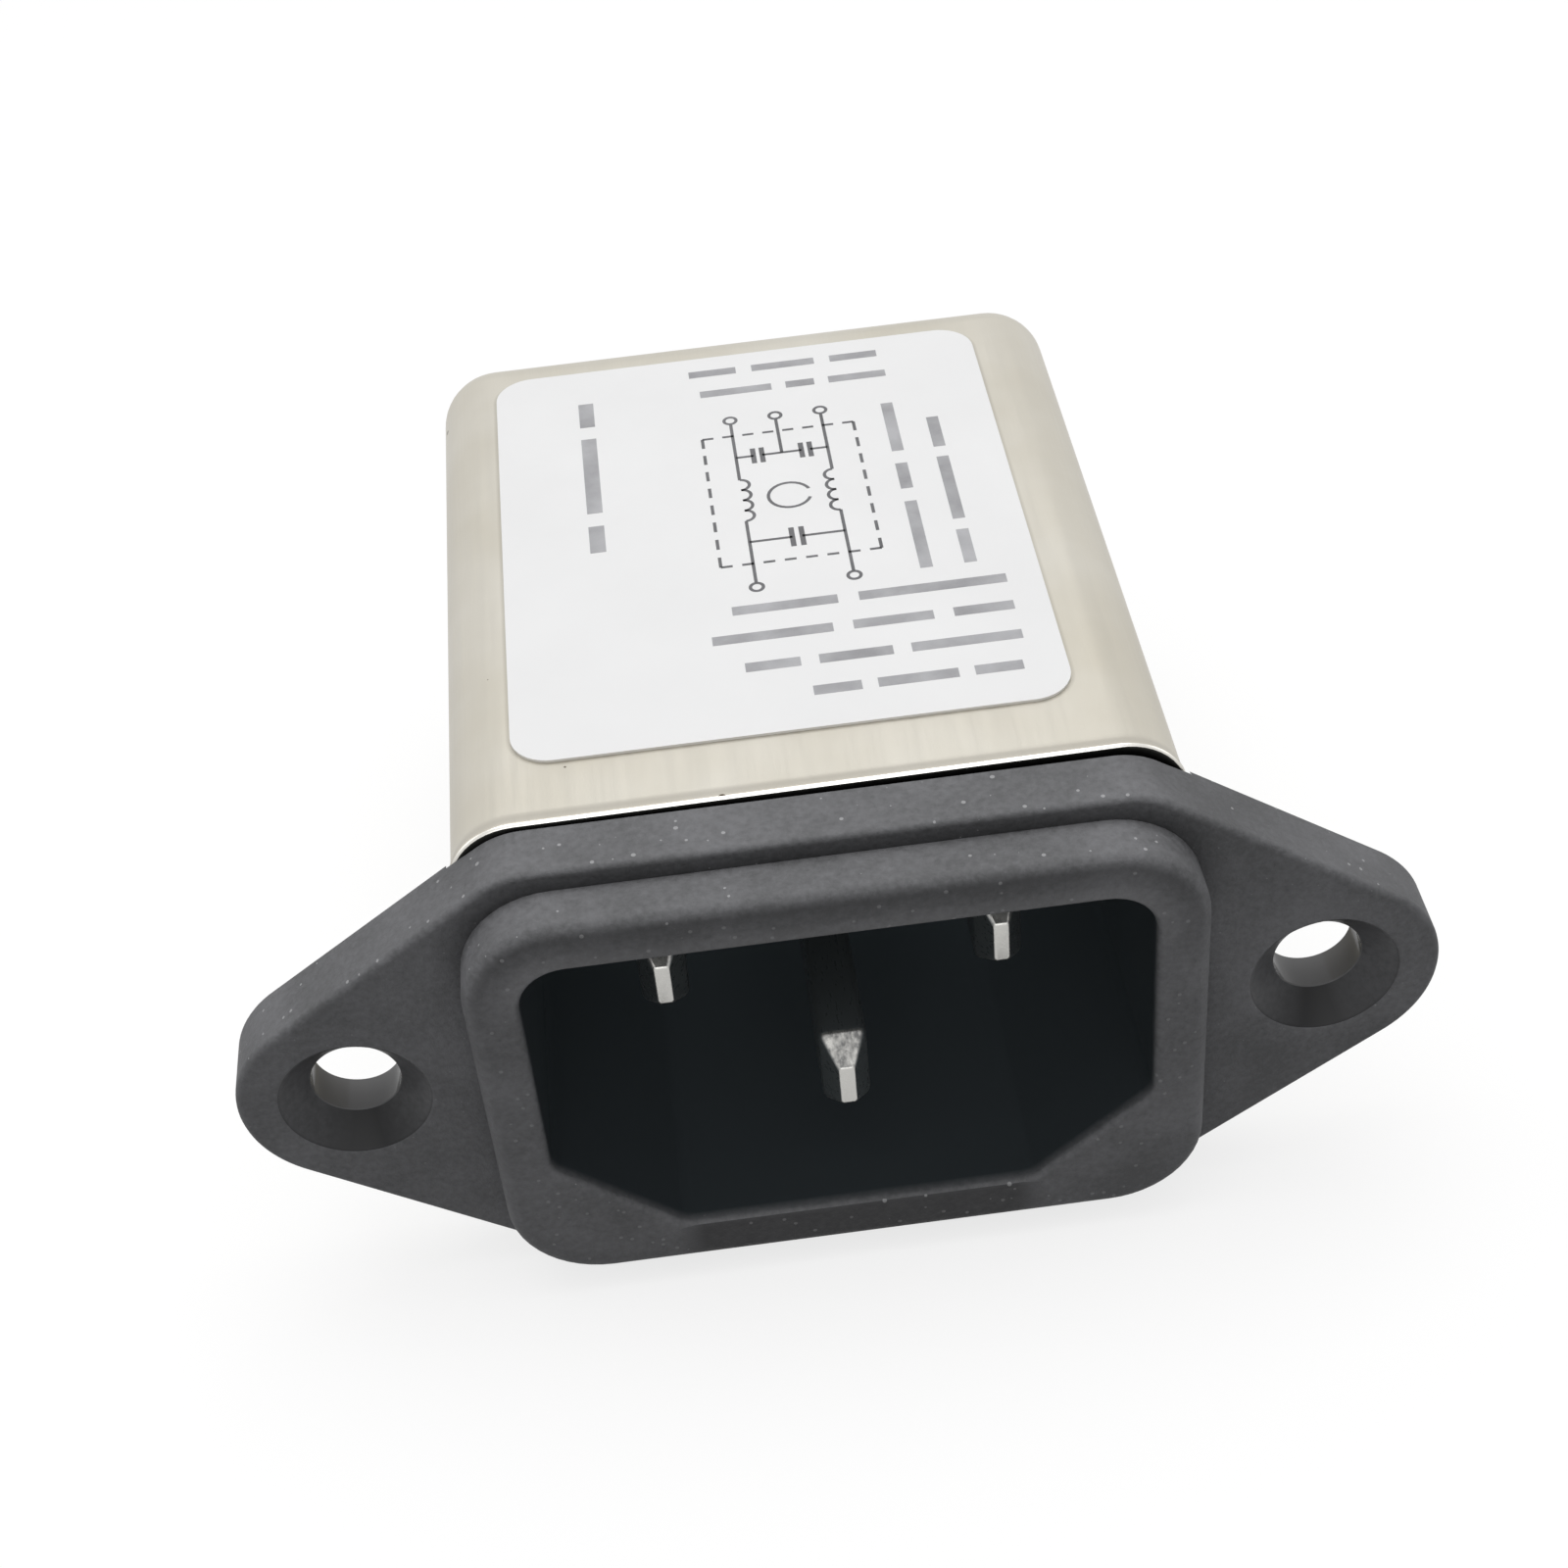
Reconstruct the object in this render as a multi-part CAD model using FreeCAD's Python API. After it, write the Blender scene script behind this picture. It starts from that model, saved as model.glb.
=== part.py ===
import FreeCAD, Part
import math
import os

# Mains filter with an appliance inlet: a moulded inlet with a flange, a drawn can behind it,
# and the filter circuit on a board inside the can.
# Millimetres. Origin midway between the two screw holes, on the flange's rear face.
# +Y runs backwards into the can, +Z is up towards the label, the socket opens towards -Y.

V = FreeCAD.Vector
X_AXIS = V(1, 0, 0)
Y_AXIS = V(0, 1, 0)
Z_AXIS = V(0, 0, 1)
SIDES = (-1, 1)

# Socket well and the collar round it
well_width = 25.0
well_height = 15.8
well_depth = 17.2
well_corner_radius = 2.0
well_key_width = 5.2
well_key_height = 4.45
well_key_radius = 1.0
well_wall = 1.1
well_base = 2.0
collar_wall_side = 2.2
collar_wall_end = 2.25
collar_projection = 2.2
collar_corner_radius = 4.0
rim_outer_radius = 0.65
rim_inner_chamfer = 0.25

# Flange with two screw ears
flange_thickness = 2.9
flange_border = 0.95
flange_flat_inset = 2.1
flange_corner_radius = 3.2
flange_edge_chamfer = 0.3
ear_radius = 4.8
screw_pitch = 40.0
screw_hole_dia = 3.7
countersink_dia = 6.2
countersink_angle = 90.0

# Drawn can, its mouth in a shallow seat behind the flange
can_wall = 0.5
can_overhang = 0.15
can_corner_radius = 2.8
can_rear_radius = 2.2
can_inner_chamfer = 1.3
can_seat_depth = 0.25
can_seat_clearance = 0.1
can_skirt_clearance = 0.1
can_skirt_length = 3.5
lip_flare = 0.15
lip_length = 0.5
lip_edge_chamfer = 0.12

# Pressed bars in the can's narrow sides that hold it on the skirt
detent_depth = 0.45
detent_width = 2.2
detent_slope = 0.55
detent_length = 8.0
detent_setback = 1.9

# Label on the can's upper face
label_thickness = 0.12
label_side_margin = 0.5
label_shift = -0.45
label_front_margin = 3.6
label_rear_margin = 0.6
label_corner_radius = 1.7

# Insulating liner between the can and what it holds
liner_thickness = 0.25
liner_gap_outside = 0.05
liner_gap_inside = 0.3
liner_end_gap = 0.2

# Inlet pins, flat blades with tapered tips
pin_thickness = 2.0
pin_width = 4.0
pin_pitch = 14.0
pin_row_offset = 4.0
pin_recess = 4.45
earth_pin_recess = 1.35
pin_tip_thickness = 0.7
pin_tip_width = 2.4
pin_tip_length = 1.25
pin_edge_radius = 0.2
pin_tail_thickness = 1.2
pin_tail_width = 2.4
pin_tail_recess = 0.2

# Circuit board behind the socket
board_thickness = 1.6
board_edge_gap = 0.4
board_corner_radius = 2.0
standoff_dia = 2.4
standoff_height = 1.0
standoff_inset = 2.2
hole_clearance = 0.1
lead_stub = 0.6
component_gap = 0.5
row_shift = 0.4

# Current-compensated choke: ferrite ring on edge, two windings and a divider
choke_bore_share = 0.622
choke_wire = 0.65
choke_turn_share = 0.95
choke_span = 140.0
winding_gap = 0.05
ring_chamfer = 0.4
hoop_corner_share = 0.6
return_lead_share = 0.4
divider_thickness = 1.2
divider_overhang = 0.4
divider_gap = 0.05
choke_seat_gap = 0.3
choke_tail_gap = 0.38

# Choke in the earth line
earth_core_dia = 7.8
earth_core_bore = 3.8
earth_core_width = 3.3
earth_wire = 0.8
earth_turns = 8
earth_span = 280.0

# Capacitors
x_cap_thickness = 5.0
x_cap_height = 11.0
x_cap_length = 13.0
x_cap_pitch = 10.0
x_cap_chamfer = 0.5
y_cap_dia = 8.0
y_cap_thickness = 3.6
y_cap_pitch = 5.0
y_cap_chamfer = 1.0
y_cap_standoff = 0.8
cap_lead_dia = 0.7

# Rear blade terminals
tab_width = 6.3
tab_thickness = 0.8
tab_reach = 8.0
tab_point_width = 4.2
tab_point_length = 1.6
tab_hole_dia = 1.6
tab_hole_setback = 4.3
tab_tail_length = 2.2
tab_pitch = 16.0
tab_drop = 2.0
bush_wall_side = 1.1
bush_wall_end = 1.05
bush_flange_border = 0.6
bush_flange_thickness = 1.2
bush_barb_border = 0.3
bush_barb_length = 1.0
bush_hole_clearance = 0.05
bush_round_share = 0.49

# Earth tab, riveted to the can with a ring tag inside
earth_tab_rise = 4.2
earth_tab_foot = 7.4
earth_tab_bend_radius = 0.5
rivet_dia = 3.0
rivet_head_dia = 5.2
rivet_head_height = 0.7
rivet_bore = 1.8
rivet_chamfer_share = 0.5
rivet_clearance = 0.05
rivet_drop = 4.4
tag_thickness = 0.5
tag_dia = 6.0
tag_tail_width = 2.6

# Insulated wires inside the can
wire_dia = 1.5
wire_edge_gap = 1.3
wire_choke_gap = 0.2

# Widths and heights that follow from the ones above
collar_width = well_width + 2 * collar_wall_side
collar_height = well_height + 2 * collar_wall_end
flange_height = collar_height + 2 * flange_border
flange_flat = collar_width - 2 * flange_flat_inset
can_inner_width = well_width + 2 * (well_wall + liner_gap_inside + liner_thickness + liner_gap_outside)
can_width = can_inner_width + 2 * can_wall
can_height = flange_height + 2 * can_overhang
can_inner_height = can_height - 2 * can_wall
can_inner_radius = can_corner_radius - can_wall
can_top_z = can_height / 2
can_flat_width = can_width - 2 * can_corner_radius
liner_inset = 2 * (liner_gap_outside + liner_thickness)
board_width = can_inner_width - liner_inset - 2 * board_edge_gap
board_height = can_inner_height - liner_inset - 2 * board_edge_gap

# Row of components from left to right, the choke filling the room between the liner and the box capacitor
lead_z = -board_height / 2 + wire_edge_gap + wire_dia / 2
y_cap_left = row_shift + component_gap / 2
x_cap_left = row_shift - component_gap / 2 - x_cap_thickness
choke_left = -can_inner_width / 2 + liner_inset / 2 + component_gap
choke_right = x_cap_left - component_gap - (0.5 + return_lead_share) * choke_wire
choke_core_width = choke_right - choke_left - 2 * (winding_gap + choke_wire)
choke_wound_radius = -lead_z - wire_dia / 2 - wire_choke_gap
choke_core_dia = 2 * (choke_wound_radius - winding_gap - choke_wire)
choke_core_bore = choke_bore_share * choke_core_dia
choke_bore_arc = math.radians(choke_span) * (choke_core_bore / 2 - winding_gap - choke_wire)
choke_turns = 1 + math.ceil(choke_bore_arc / (choke_turn_share * choke_wire))
choke_end_angle = math.radians(90 - choke_span / 2)
choke_rise = choke_wound_radius * math.cos(choke_end_angle) + choke_wire / 2 * math.sin(choke_end_angle)
component_space = choke_seat_gap + 2 * choke_rise + choke_tail_gap + tab_tail_length + bush_barb_length

# Levels along Y
front_y = -flange_thickness
rim_y = front_y - collar_projection
floor_y = rim_y + well_depth
base_y = floor_y + well_base
board_front_y = base_y + standoff_height
board_y = board_front_y + board_thickness
can_inner_rear_y = board_y + component_space
can_rear_y = can_inner_rear_y + can_wall
mouth_y = -can_seat_depth
skirt_end_y = mouth_y + can_skirt_length

# Places of the pins and tabs, as (x, z)
line_pin_at = (-pin_pitch / 2, pin_row_offset / 2)
neutral_pin_at = (pin_pitch / 2, pin_row_offset / 2)
earth_pin_at = (0, -pin_row_offset / 2)
line_tab_at = (-tab_pitch / 2, -tab_drop)
neutral_tab_at = (tab_pitch / 2, -tab_drop)
rivet_z = earth_tab_rise - rivet_drop


def box_between(x0, x1, y0, y1, z0, z1):
    """Box from its lowest to its highest corner."""
    return Part.makeBox(x1 - x0, y1 - y0, z1 - z0, V(x0, y0, z0))


def edges_along(shape, axis):
    """Straight edges of a shape that run along an axis."""
    found = []
    for edge in shape.Edges:
        if isinstance(edge.Curve, Part.Line) and abs(edge.Curve.Direction.dot(axis)) > 0.9999:
            found.append(edge)
    return found


def edges_at_y(shape, y):
    """Edges that lie in the plane at y."""
    found = []
    for edge in shape.Edges:
        box = edge.BoundBox
        if abs(box.YMin - y) < 1e-4 and abs(box.YMax - y) < 1e-4:
            found.append(edge)
    return found


def rounded_prism(width, height, radius, y0, y1, at=(0, 0)):
    """Prism along Y with a rounded rectangle as its section."""
    x, z = at
    block = box_between(x - width / 2, x + width / 2, y0, y1, z - height / 2, z + height / 2)
    return block.makeFillet(radius, edges_along(block, Y_AXIS))


def rod(radius, y0, y1, at):
    """Round rod along Y."""
    x, z = at
    return Part.makeCylinder(radius, y1 - y0, V(x, y0, z), Y_AXIS)


def polygon_prism(points, direction):
    """Prism from a closed outline of points."""
    outline = Part.makePolygon(points + points[:1])
    return Part.Face(outline).extrude(direction)


def well_prism(offset, corner_radius, key_radius, y0, y1):
    """Socket section, grown by an offset: two round upper corners and two cut lower ones."""
    half_width = well_width / 2
    half_height = well_height / 2
    slant = math.hypot(well_key_width, well_key_height)
    normal_x = well_key_height / slant
    normal_z = -well_key_width / slant
    key_side_z = -half_height + well_key_height + offset * (1 - normal_x) / normal_z
    key_floor_x = half_width - well_key_width + offset * (1 + normal_z) / normal_x
    side_x = half_width + offset
    top_z = half_height + offset
    outline = [
        V(-side_x, y0, top_z),
        V(side_x, y0, top_z),
        V(side_x, y0, key_side_z),
        V(key_floor_x, y0, -top_z),
        V(-key_floor_x, y0, -top_z),
        V(-side_x, y0, key_side_z),
    ]
    prism = polygon_prism(outline, V(0, y1 - y0, 0))
    corners = edges_along(prism, Y_AXIS)
    upper = [edge for edge in corners if edge.CenterOfMass.z > 0]
    lower = [edge for edge in corners if edge.CenterOfMass.z < 0]
    return prism.makeFillet(corner_radius, upper).makeFillet(key_radius, lower)


def flange_plate():
    """Flange: a flat-topped plate whose flanks run tangent into two round ears."""
    half_flat = flange_flat / 2
    half_height = flange_height / 2
    ear_x = screw_pitch / 2
    distance = math.hypot(ear_x - half_flat, half_height)
    to_ear = math.atan2(-half_height, ear_x - half_flat)
    flank = to_ear + math.asin(ear_radius / distance)
    touch_x = ear_x - ear_radius * math.sin(flank)
    touch_z = ear_radius * math.cos(flank)
    outline = [
        V(half_flat, front_y, half_height),
        V(touch_x, front_y, touch_z),
        V(touch_x, front_y, -touch_z),
        V(half_flat, front_y, -half_height),
        V(-half_flat, front_y, -half_height),
        V(-touch_x, front_y, -touch_z),
        V(-touch_x, front_y, touch_z),
        V(-half_flat, front_y, half_height),
    ]
    plate = polygon_prism(outline, V(0, flange_thickness, 0))
    corners = [edge for edge in edges_along(plate, Y_AXIS) if abs(edge.CenterOfMass.x) < half_flat + 0.01]
    plate = plate.makeFillet(flange_corner_radius, corners)
    for side in SIDES:
        plate = plate.fuse(rod(ear_radius, front_y, 0, (side * ear_x, 0)))
    plate = plate.removeSplitter()
    return plate.makeChamfer(flange_edge_chamfer, edges_at_y(plate, front_y))


def screw_hole(side):
    """Through hole with a countersink from the front."""
    at = (side * screw_pitch / 2, 0)
    depth = (countersink_dia - screw_hole_dia) / 2 / math.tan(math.radians(countersink_angle / 2))
    cone = Part.makeCone(countersink_dia / 2, screw_hole_dia / 2, depth, V(at[0], front_y, at[1]), Y_AXIS)
    return rod(screw_hole_dia / 2, front_y, can_skirt_length, at).fuse(cone)


def detent_bar(side, surface_x, length, grow=0.0):
    """Bar with sloping flanks that sinks inwards from a surface on one of the can's narrow sides."""
    y = mouth_y + detent_setback
    half_base = detent_width / 2 + grow
    half_top = half_base - detent_slope
    top_x = surface_x - detent_depth - grow
    half_outline = [(surface_x + can_wall / 2, half_base), (surface_x, half_base), (top_x, half_top)]
    half_outline += [(x, -half) for x, half in reversed(half_outline)]
    z = length / 2 + grow
    return polygon_prism([V(side * x, y + half, -z) for x, half in half_outline], V(0, 0, 2 * z))


def standoff_places():
    """Posts behind the socket that the board stands on."""
    x = well_width / 2 - standoff_inset
    z = well_height / 2 - standoff_inset
    return [(-x, z), (x, z), (-x + well_key_width, -z), (x - well_key_width, -z)]


def inlet_moulding():
    """Flange, collar, socket well and skirt, moulded as one piece."""
    collar = rounded_prism(collar_width, collar_height, collar_corner_radius, rim_y, mouth_y)
    collar = collar.makeFillet(rim_outer_radius, edges_at_y(collar, rim_y))
    skirt_fit = 2 * can_skirt_clearance
    skirt = rounded_prism(can_inner_width - skirt_fit, can_inner_height - skirt_fit,
                          can_inner_radius - can_skirt_clearance, mouth_y, skirt_end_y)
    body = well_prism(well_wall, well_corner_radius + well_wall, well_key_radius, mouth_y, base_y)
    flange = flange_plate()
    seat_fit = 2 * (lip_flare + can_seat_clearance)
    seat = rounded_prism(can_width + seat_fit, can_height + seat_fit,
                         can_corner_radius + seat_fit / 2, mouth_y, 0)
    moulding = flange.cut(seat).multiFuse([collar, skirt, body]).removeSplitter()
    well = well_prism(0, well_corner_radius, well_key_radius, rim_y, floor_y)
    moulding = moulding.cut(well)
    mouth = [edge for edge in edges_at_y(moulding, rim_y) if well.BoundBox.isInside(edge.BoundBox)]
    moulding = moulding.makeChamfer(rim_inner_chamfer, mouth)
    for side in SIDES:
        moulding = moulding.cut(screw_hole(side))
    for side in SIDES:
        moulding = moulding.cut(detent_bar(side, can_inner_width / 2, detent_length, can_skirt_clearance))
    posts = [rod(standoff_dia / 2, base_y, board_front_y, at) for at in standoff_places()]
    moulding = moulding.multiFuse(posts).removeSplitter()
    for pin in (line_pin(), neutral_pin(), earth_pin()):
        moulding = moulding.cut(pin)
    return moulding


def inlet_pin(at, recess):
    """Flat pin with a tapered tip and a narrow tail that goes into the board."""
    x, z = at
    tip_y = rim_y + recess
    taper_y = tip_y + pin_tip_length
    blade = rounded_prism(pin_thickness, pin_width, pin_edge_radius, taper_y, base_y, at)
    sections = []
    for y, thickness, width in ((tip_y, pin_tip_thickness, pin_tip_width), (taper_y, pin_thickness, pin_width)):
        slab = rounded_prism(thickness, width, pin_edge_radius, y, y + 1, at)
        front = [face for face in slab.Faces if abs(face.BoundBox.YMax - y) < 1e-4][0]
        sections.append(front.OuterWire)
    tip = Part.makeLoft(sections, True, True)
    tail = box_between(x - pin_tail_thickness / 2, x + pin_tail_thickness / 2, base_y,
                       board_y - pin_tail_recess, z - pin_tail_width / 2, z + pin_tail_width / 2)
    return blade.multiFuse([tip, tail])


def line_pin():
    return inlet_pin(line_pin_at, pin_recess)


def neutral_pin():
    return inlet_pin(neutral_pin_at, pin_recess)


def earth_pin():
    return inlet_pin(earth_pin_at, earth_pin_recess)


def bush_section(at, border, y0, y1):
    """Slice of a terminal bush, its wall grown by a border."""
    width = tab_thickness + 2 * (bush_wall_side + border)
    height = tab_width + 2 * (bush_wall_end + border)
    return rounded_prism(width, height, bush_round_share * width, y0, y1, at)


def shield_can():
    """Drawn can with a flared lip, pressed bars in its narrow sides and terminal openings in its rear wall."""
    outer = rounded_prism(can_width, can_height, can_corner_radius, mouth_y, can_rear_y)
    outer = outer.makeFillet(can_rear_radius, edges_at_y(outer, can_rear_y))
    lip = rounded_prism(can_width + 2 * lip_flare, can_height + 2 * lip_flare,
                        can_corner_radius + lip_flare, mouth_y, mouth_y + lip_length)
    lip = lip.makeChamfer(lip_edge_chamfer, edges_at_y(lip, mouth_y) + edges_at_y(lip, mouth_y + lip_length))
    inner = rounded_prism(can_inner_width, can_inner_height, can_inner_radius, mouth_y, can_inner_rear_y)
    inner = inner.makeChamfer(can_inner_chamfer, edges_at_y(inner, can_inner_rear_y))
    can = outer.fuse(lip).cut(inner)
    for side in SIDES:
        can = can.fuse(detent_bar(side, can_inner_width / 2, detent_length))
        can = can.cut(detent_bar(side, can_width / 2, detent_length - 2 * can_wall))
    for at in (line_tab_at, neutral_tab_at):
        can = can.cut(bush_section(at, bush_hole_clearance, can_inner_rear_y, can_rear_y))
    rivet_hole = rod(rivet_dia / 2 + rivet_clearance, can_inner_rear_y, can_rear_y, (0, rivet_z))
    return can.cut(rivet_hole).removeSplitter()


def rating_label():
    """Thin film label with round corners on the can's flat upper face."""
    half_width = can_flat_width / 2 - label_side_margin
    film = box_between(label_shift - half_width, label_shift + half_width, mouth_y + label_front_margin,
                       can_rear_y - can_rear_radius - label_rear_margin, can_top_z, can_top_z + label_thickness)
    return film.makeFillet(label_corner_radius, edges_along(film, Z_AXIS))


def can_liner():
    """Insulating film sleeve inside the can."""
    outset = 2 * liner_gap_outside
    start = skirt_end_y + liner_end_gap
    end = can_inner_rear_y - can_inner_chamfer - liner_end_gap
    outer = rounded_prism(can_inner_width - outset, can_inner_height - outset,
                          can_inner_radius - liner_gap_outside, start, end)
    inner = rounded_prism(can_inner_width - liner_inset, can_inner_height - liner_inset,
                          can_inner_radius - liner_inset / 2, start, end)
    return outer.cut(inner)


class RingChoke:
    """Ferrite ring standing on edge on the board, its axis along X."""

    def __init__(self, dia, bore, width, wire, gap_angle, left, z):
        self.outer = dia / 2
        self.inner = bore / 2
        self.width = width
        self.wire = wire
        self.side_reach = width / 2 + winding_gap + wire
        self.wound = self.outer + winding_gap + wire
        half_gap = math.radians(gap_angle / 2)
        lowest_turn = self.wound * math.cos(half_gap) + wire / 2 * math.sin(half_gap)
        seat = max(self.outer, lowest_turn) + choke_seat_gap
        self.centre = V(left + self.side_reach, board_y + seat, z)
        self.right = self.centre.x + self.side_reach

    def core(self):
        """Ferrite ring with broken edges."""
        start = self.centre - X_AXIS * (self.width / 2)
        ring = Part.makeCylinder(self.outer, self.width, start, X_AXIS)
        ring = ring.cut(Part.makeCylinder(self.inner, self.width, start, X_AXIS))
        rims = [edge for edge in ring.Edges if isinstance(edge.Curve, Part.Circle)]
        return ring.makeChamfer(ring_chamfer, rims)

    def turn(self, angle):
        """One turn of wire round the ring's section, at an angle from +Z."""
        half = self.width / 2 + winding_gap
        low = self.inner - winding_gap
        high = self.outer + winding_gap
        wire = self.wire
        hoop = box_between(-half - wire, half + wire, -wire / 2, wire / 2, low - wire, high + wire)
        hoop = hoop.makeChamfer(hoop_corner_share * wire, edges_along(hoop, Y_AXIS))
        hoop = hoop.cut(box_between(-half, half, -wire / 2, wire / 2, low, high))
        hoop.rotate(V(0, 0, 0), X_AXIS, angle)
        hoop.translate(self.centre)
        return hoop

    def lead_at(self, angle):
        """Place in the board below the outer leg of the turn at an angle."""
        radius = self.outer + winding_gap + self.wire / 2
        return (self.centre.x, self.centre.z + radius * math.cos(math.radians(angle)))

    def lead_top(self, angle):
        """Height of the outer leg of the turn at an angle."""
        radius = self.outer + winding_gap + self.wire / 2
        return self.centre.y - radius * math.sin(math.radians(angle))

    def lead(self, at, top_y):
        """End of the wire, straight down through the board."""
        return rod(self.wire / 2, board_front_y - lead_stub, top_y, at)

    def turns(self, start, span, count):
        """Row of turns over a span of angles."""
        step = span / (count - 1)
        return [self.turn(start + step * index) for index in range(count)]


def main_choke():
    return RingChoke(choke_core_dia, choke_core_bore, choke_core_width, choke_wire,
                     180 - choke_span, choke_left, 0)


def choke_return_at(choke, side):
    """Place of the lead that comes back down beside the ring from a winding's far end."""
    radius = (choke.outer + choke.inner) / 2
    x = choke.centre.x + choke.side_reach + return_lead_share * choke.wire
    return (x, side * radius * math.cos(math.radians(choke_span / 2)))


def choke_winding(side):
    """Winding on one half of the ring, above or below the divider, with both ends in the board."""
    choke = main_choke()
    near = choke_span / 2 if side > 0 else 180 - choke_span / 2
    pieces = choke.turns(90 - 90 * side - choke_span / 2, choke_span, choke_turns)
    pieces.append(choke.lead(choke.lead_at(near), choke.lead_top(near)))
    far_radius = (choke.outer + choke.inner) / 2
    far_top = choke.centre.y + far_radius * math.sin(math.radians(choke_span / 2))
    pieces.append(choke.lead(choke_return_at(choke, side), far_top))
    return pieces[0].multiFuse(pieces[1:])


def choke_divider():
    """Insulating web across the ring's bore, between the two windings."""
    choke = main_choke()
    reach = choke.inner - divider_gap
    half = choke.width / 2 + divider_overhang
    web = rod(reach, -half, half, (0, 0)).common(
        box_between(-reach, reach, -half, half, -divider_thickness / 2, divider_thickness / 2))
    web.rotate(V(0, 0, 0), Z_AXIS, 90)
    web.translate(choke.centre)
    return web


def x_cap_leads():
    x = x_cap_left + x_cap_thickness / 2
    return [(x, side * x_cap_pitch / 2) for side in SIDES]


def cap_lead(at, top_y):
    """Lead of a capacitor, down through the board."""
    return rod(cap_lead_dia / 2, board_front_y - lead_stub, top_y, at)


def x_capacitor():
    """Film capacitor in a moulded box, across line and neutral."""
    case = box_between(x_cap_left, x_cap_left + x_cap_thickness, board_y, board_y + x_cap_height,
                       -x_cap_length / 2, x_cap_length / 2)
    sharp = [edge for edge in case.Edges if edge.BoundBox.YMax > board_y + x_cap_chamfer]
    case = case.makeChamfer(x_cap_chamfer, sharp)
    return case.multiFuse([cap_lead(at, board_y + x_cap_chamfer) for at in x_cap_leads()])


def y_cap_z(side):
    return side * (y_cap_dia + component_gap) / 2


def y_cap_leads(side):
    x = y_cap_left + y_cap_thickness / 2
    return [(x, y_cap_z(side) + end * y_cap_pitch / 2) for end in SIDES]


def y_capacitor(side):
    """Ceramic disc capacitor from one conductor to earth."""
    centre_y = board_y + y_cap_standoff + y_cap_dia / 2
    disc = Part.makeCylinder(y_cap_dia / 2, y_cap_thickness, V(y_cap_left, centre_y, y_cap_z(side)), X_AXIS)
    rims = [edge for edge in disc.Edges if isinstance(edge.Curve, Part.Circle)]
    disc = disc.makeChamfer(y_cap_chamfer, rims)
    return disc.multiFuse([cap_lead(at, centre_y) for at in y_cap_leads(side)])


def earth_choke():
    reach = earth_core_width + 2 * (winding_gap + earth_wire)
    left = can_inner_width / 2 - liner_inset / 2 - component_gap - reach
    wound = earth_core_dia / 2 + winding_gap + earth_wire
    return RingChoke(earth_core_dia, earth_core_bore, earth_core_width, earth_wire,
                     360 - earth_span, left, wound)


def earth_choke_ends():
    """Angles of the first and last turn, either side of the gap that faces the board."""
    return (90 + (360 - earth_span) / 2, 90 - (360 - earth_span) / 2)


def earth_choke_winding():
    """Winding of the earth choke, with both ends in the board."""
    choke = earth_choke()
    ends = earth_choke_ends()
    pieces = choke.turns(ends[0], earth_span, earth_turns)
    pieces += [choke.lead(choke.lead_at(angle), choke.lead_top(angle)) for angle in ends]
    return pieces[0].multiFuse(pieces[1:])


def board_leads():
    """Every lead that goes through the board, as (place, radius)."""
    choke = main_choke()
    near = choke_span / 2
    leads = [(choke.lead_at(angle), choke_wire / 2) for angle in (near, 180 - near)]
    leads += [(choke_return_at(choke, side), choke_wire / 2) for side in SIDES]
    leads += [(earth_choke().lead_at(angle), earth_wire / 2) for angle in earth_choke_ends()]
    leads += [(at, cap_lead_dia / 2) for at in x_cap_leads()]
    leads += [(at, cap_lead_dia / 2) for side in SIDES for at in y_cap_leads(side)]
    return leads


def circuit_board():
    """Board with a hole for each lead and a slot for each pin tail."""
    board = rounded_prism(board_width, board_height, board_corner_radius, board_front_y, board_y)
    cuts = [rod(radius + hole_clearance, board_front_y, board_y, at) for at, radius in board_leads()]
    for x, z in (line_pin_at, neutral_pin_at, earth_pin_at):
        half_x = pin_tail_thickness / 2 + hole_clearance
        half_z = pin_tail_width / 2 + hole_clearance
        cuts.append(box_between(x - half_x, x + half_x, board_front_y, board_y, z - half_z, z + half_z))
    return board.cut(Part.makeCompound(cuts))


def tab_tip_y():
    return can_rear_y + tab_reach


def load_tab(at):
    """Upright blade terminal with a pointed end and, inside the can, a leg down to its wire."""
    x, z = at
    shoulder_y = can_inner_rear_y - bush_barb_length
    tail_y = shoulder_y - tab_tail_length
    point_y = tab_tip_y() - tab_point_length
    left = x - tab_thickness / 2
    half = tab_width / 2
    half_point = tab_point_width / 2
    leg_z = lead_z - wire_dia / 2
    profile = [(tail_y, z + half), (point_y, z + half), (tab_tip_y(), z + half_point),
               (tab_tip_y(), z - half_point), (point_y, z - half), (shoulder_y, z - half),
               (shoulder_y, leg_z), (tail_y, leg_z)]
    blade = polygon_prism([V(left, y, height) for y, height in profile], V(tab_thickness, 0, 0))
    hole_y = tab_tip_y() - tab_hole_setback
    return blade.cut(Part.makeCylinder(tab_hole_dia / 2, tab_thickness, V(left, hole_y, z), X_AXIS))


def load_bush(at):
    """Insulating bush: a flange outside the can, a neck through its wall and a barb inside."""
    flange = bush_section(at, bush_flange_border, can_rear_y, can_rear_y + bush_flange_thickness)
    flange = flange.makeChamfer(bush_flange_border, edges_at_y(flange, can_rear_y + bush_flange_thickness))
    neck = bush_section(at, 0, can_inner_rear_y, can_rear_y)
    barb = bush_section(at, bush_barb_border, can_inner_rear_y - bush_barb_length, can_inner_rear_y)
    return flange.multiFuse([neck, barb]).cut(load_tab(at))


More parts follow.
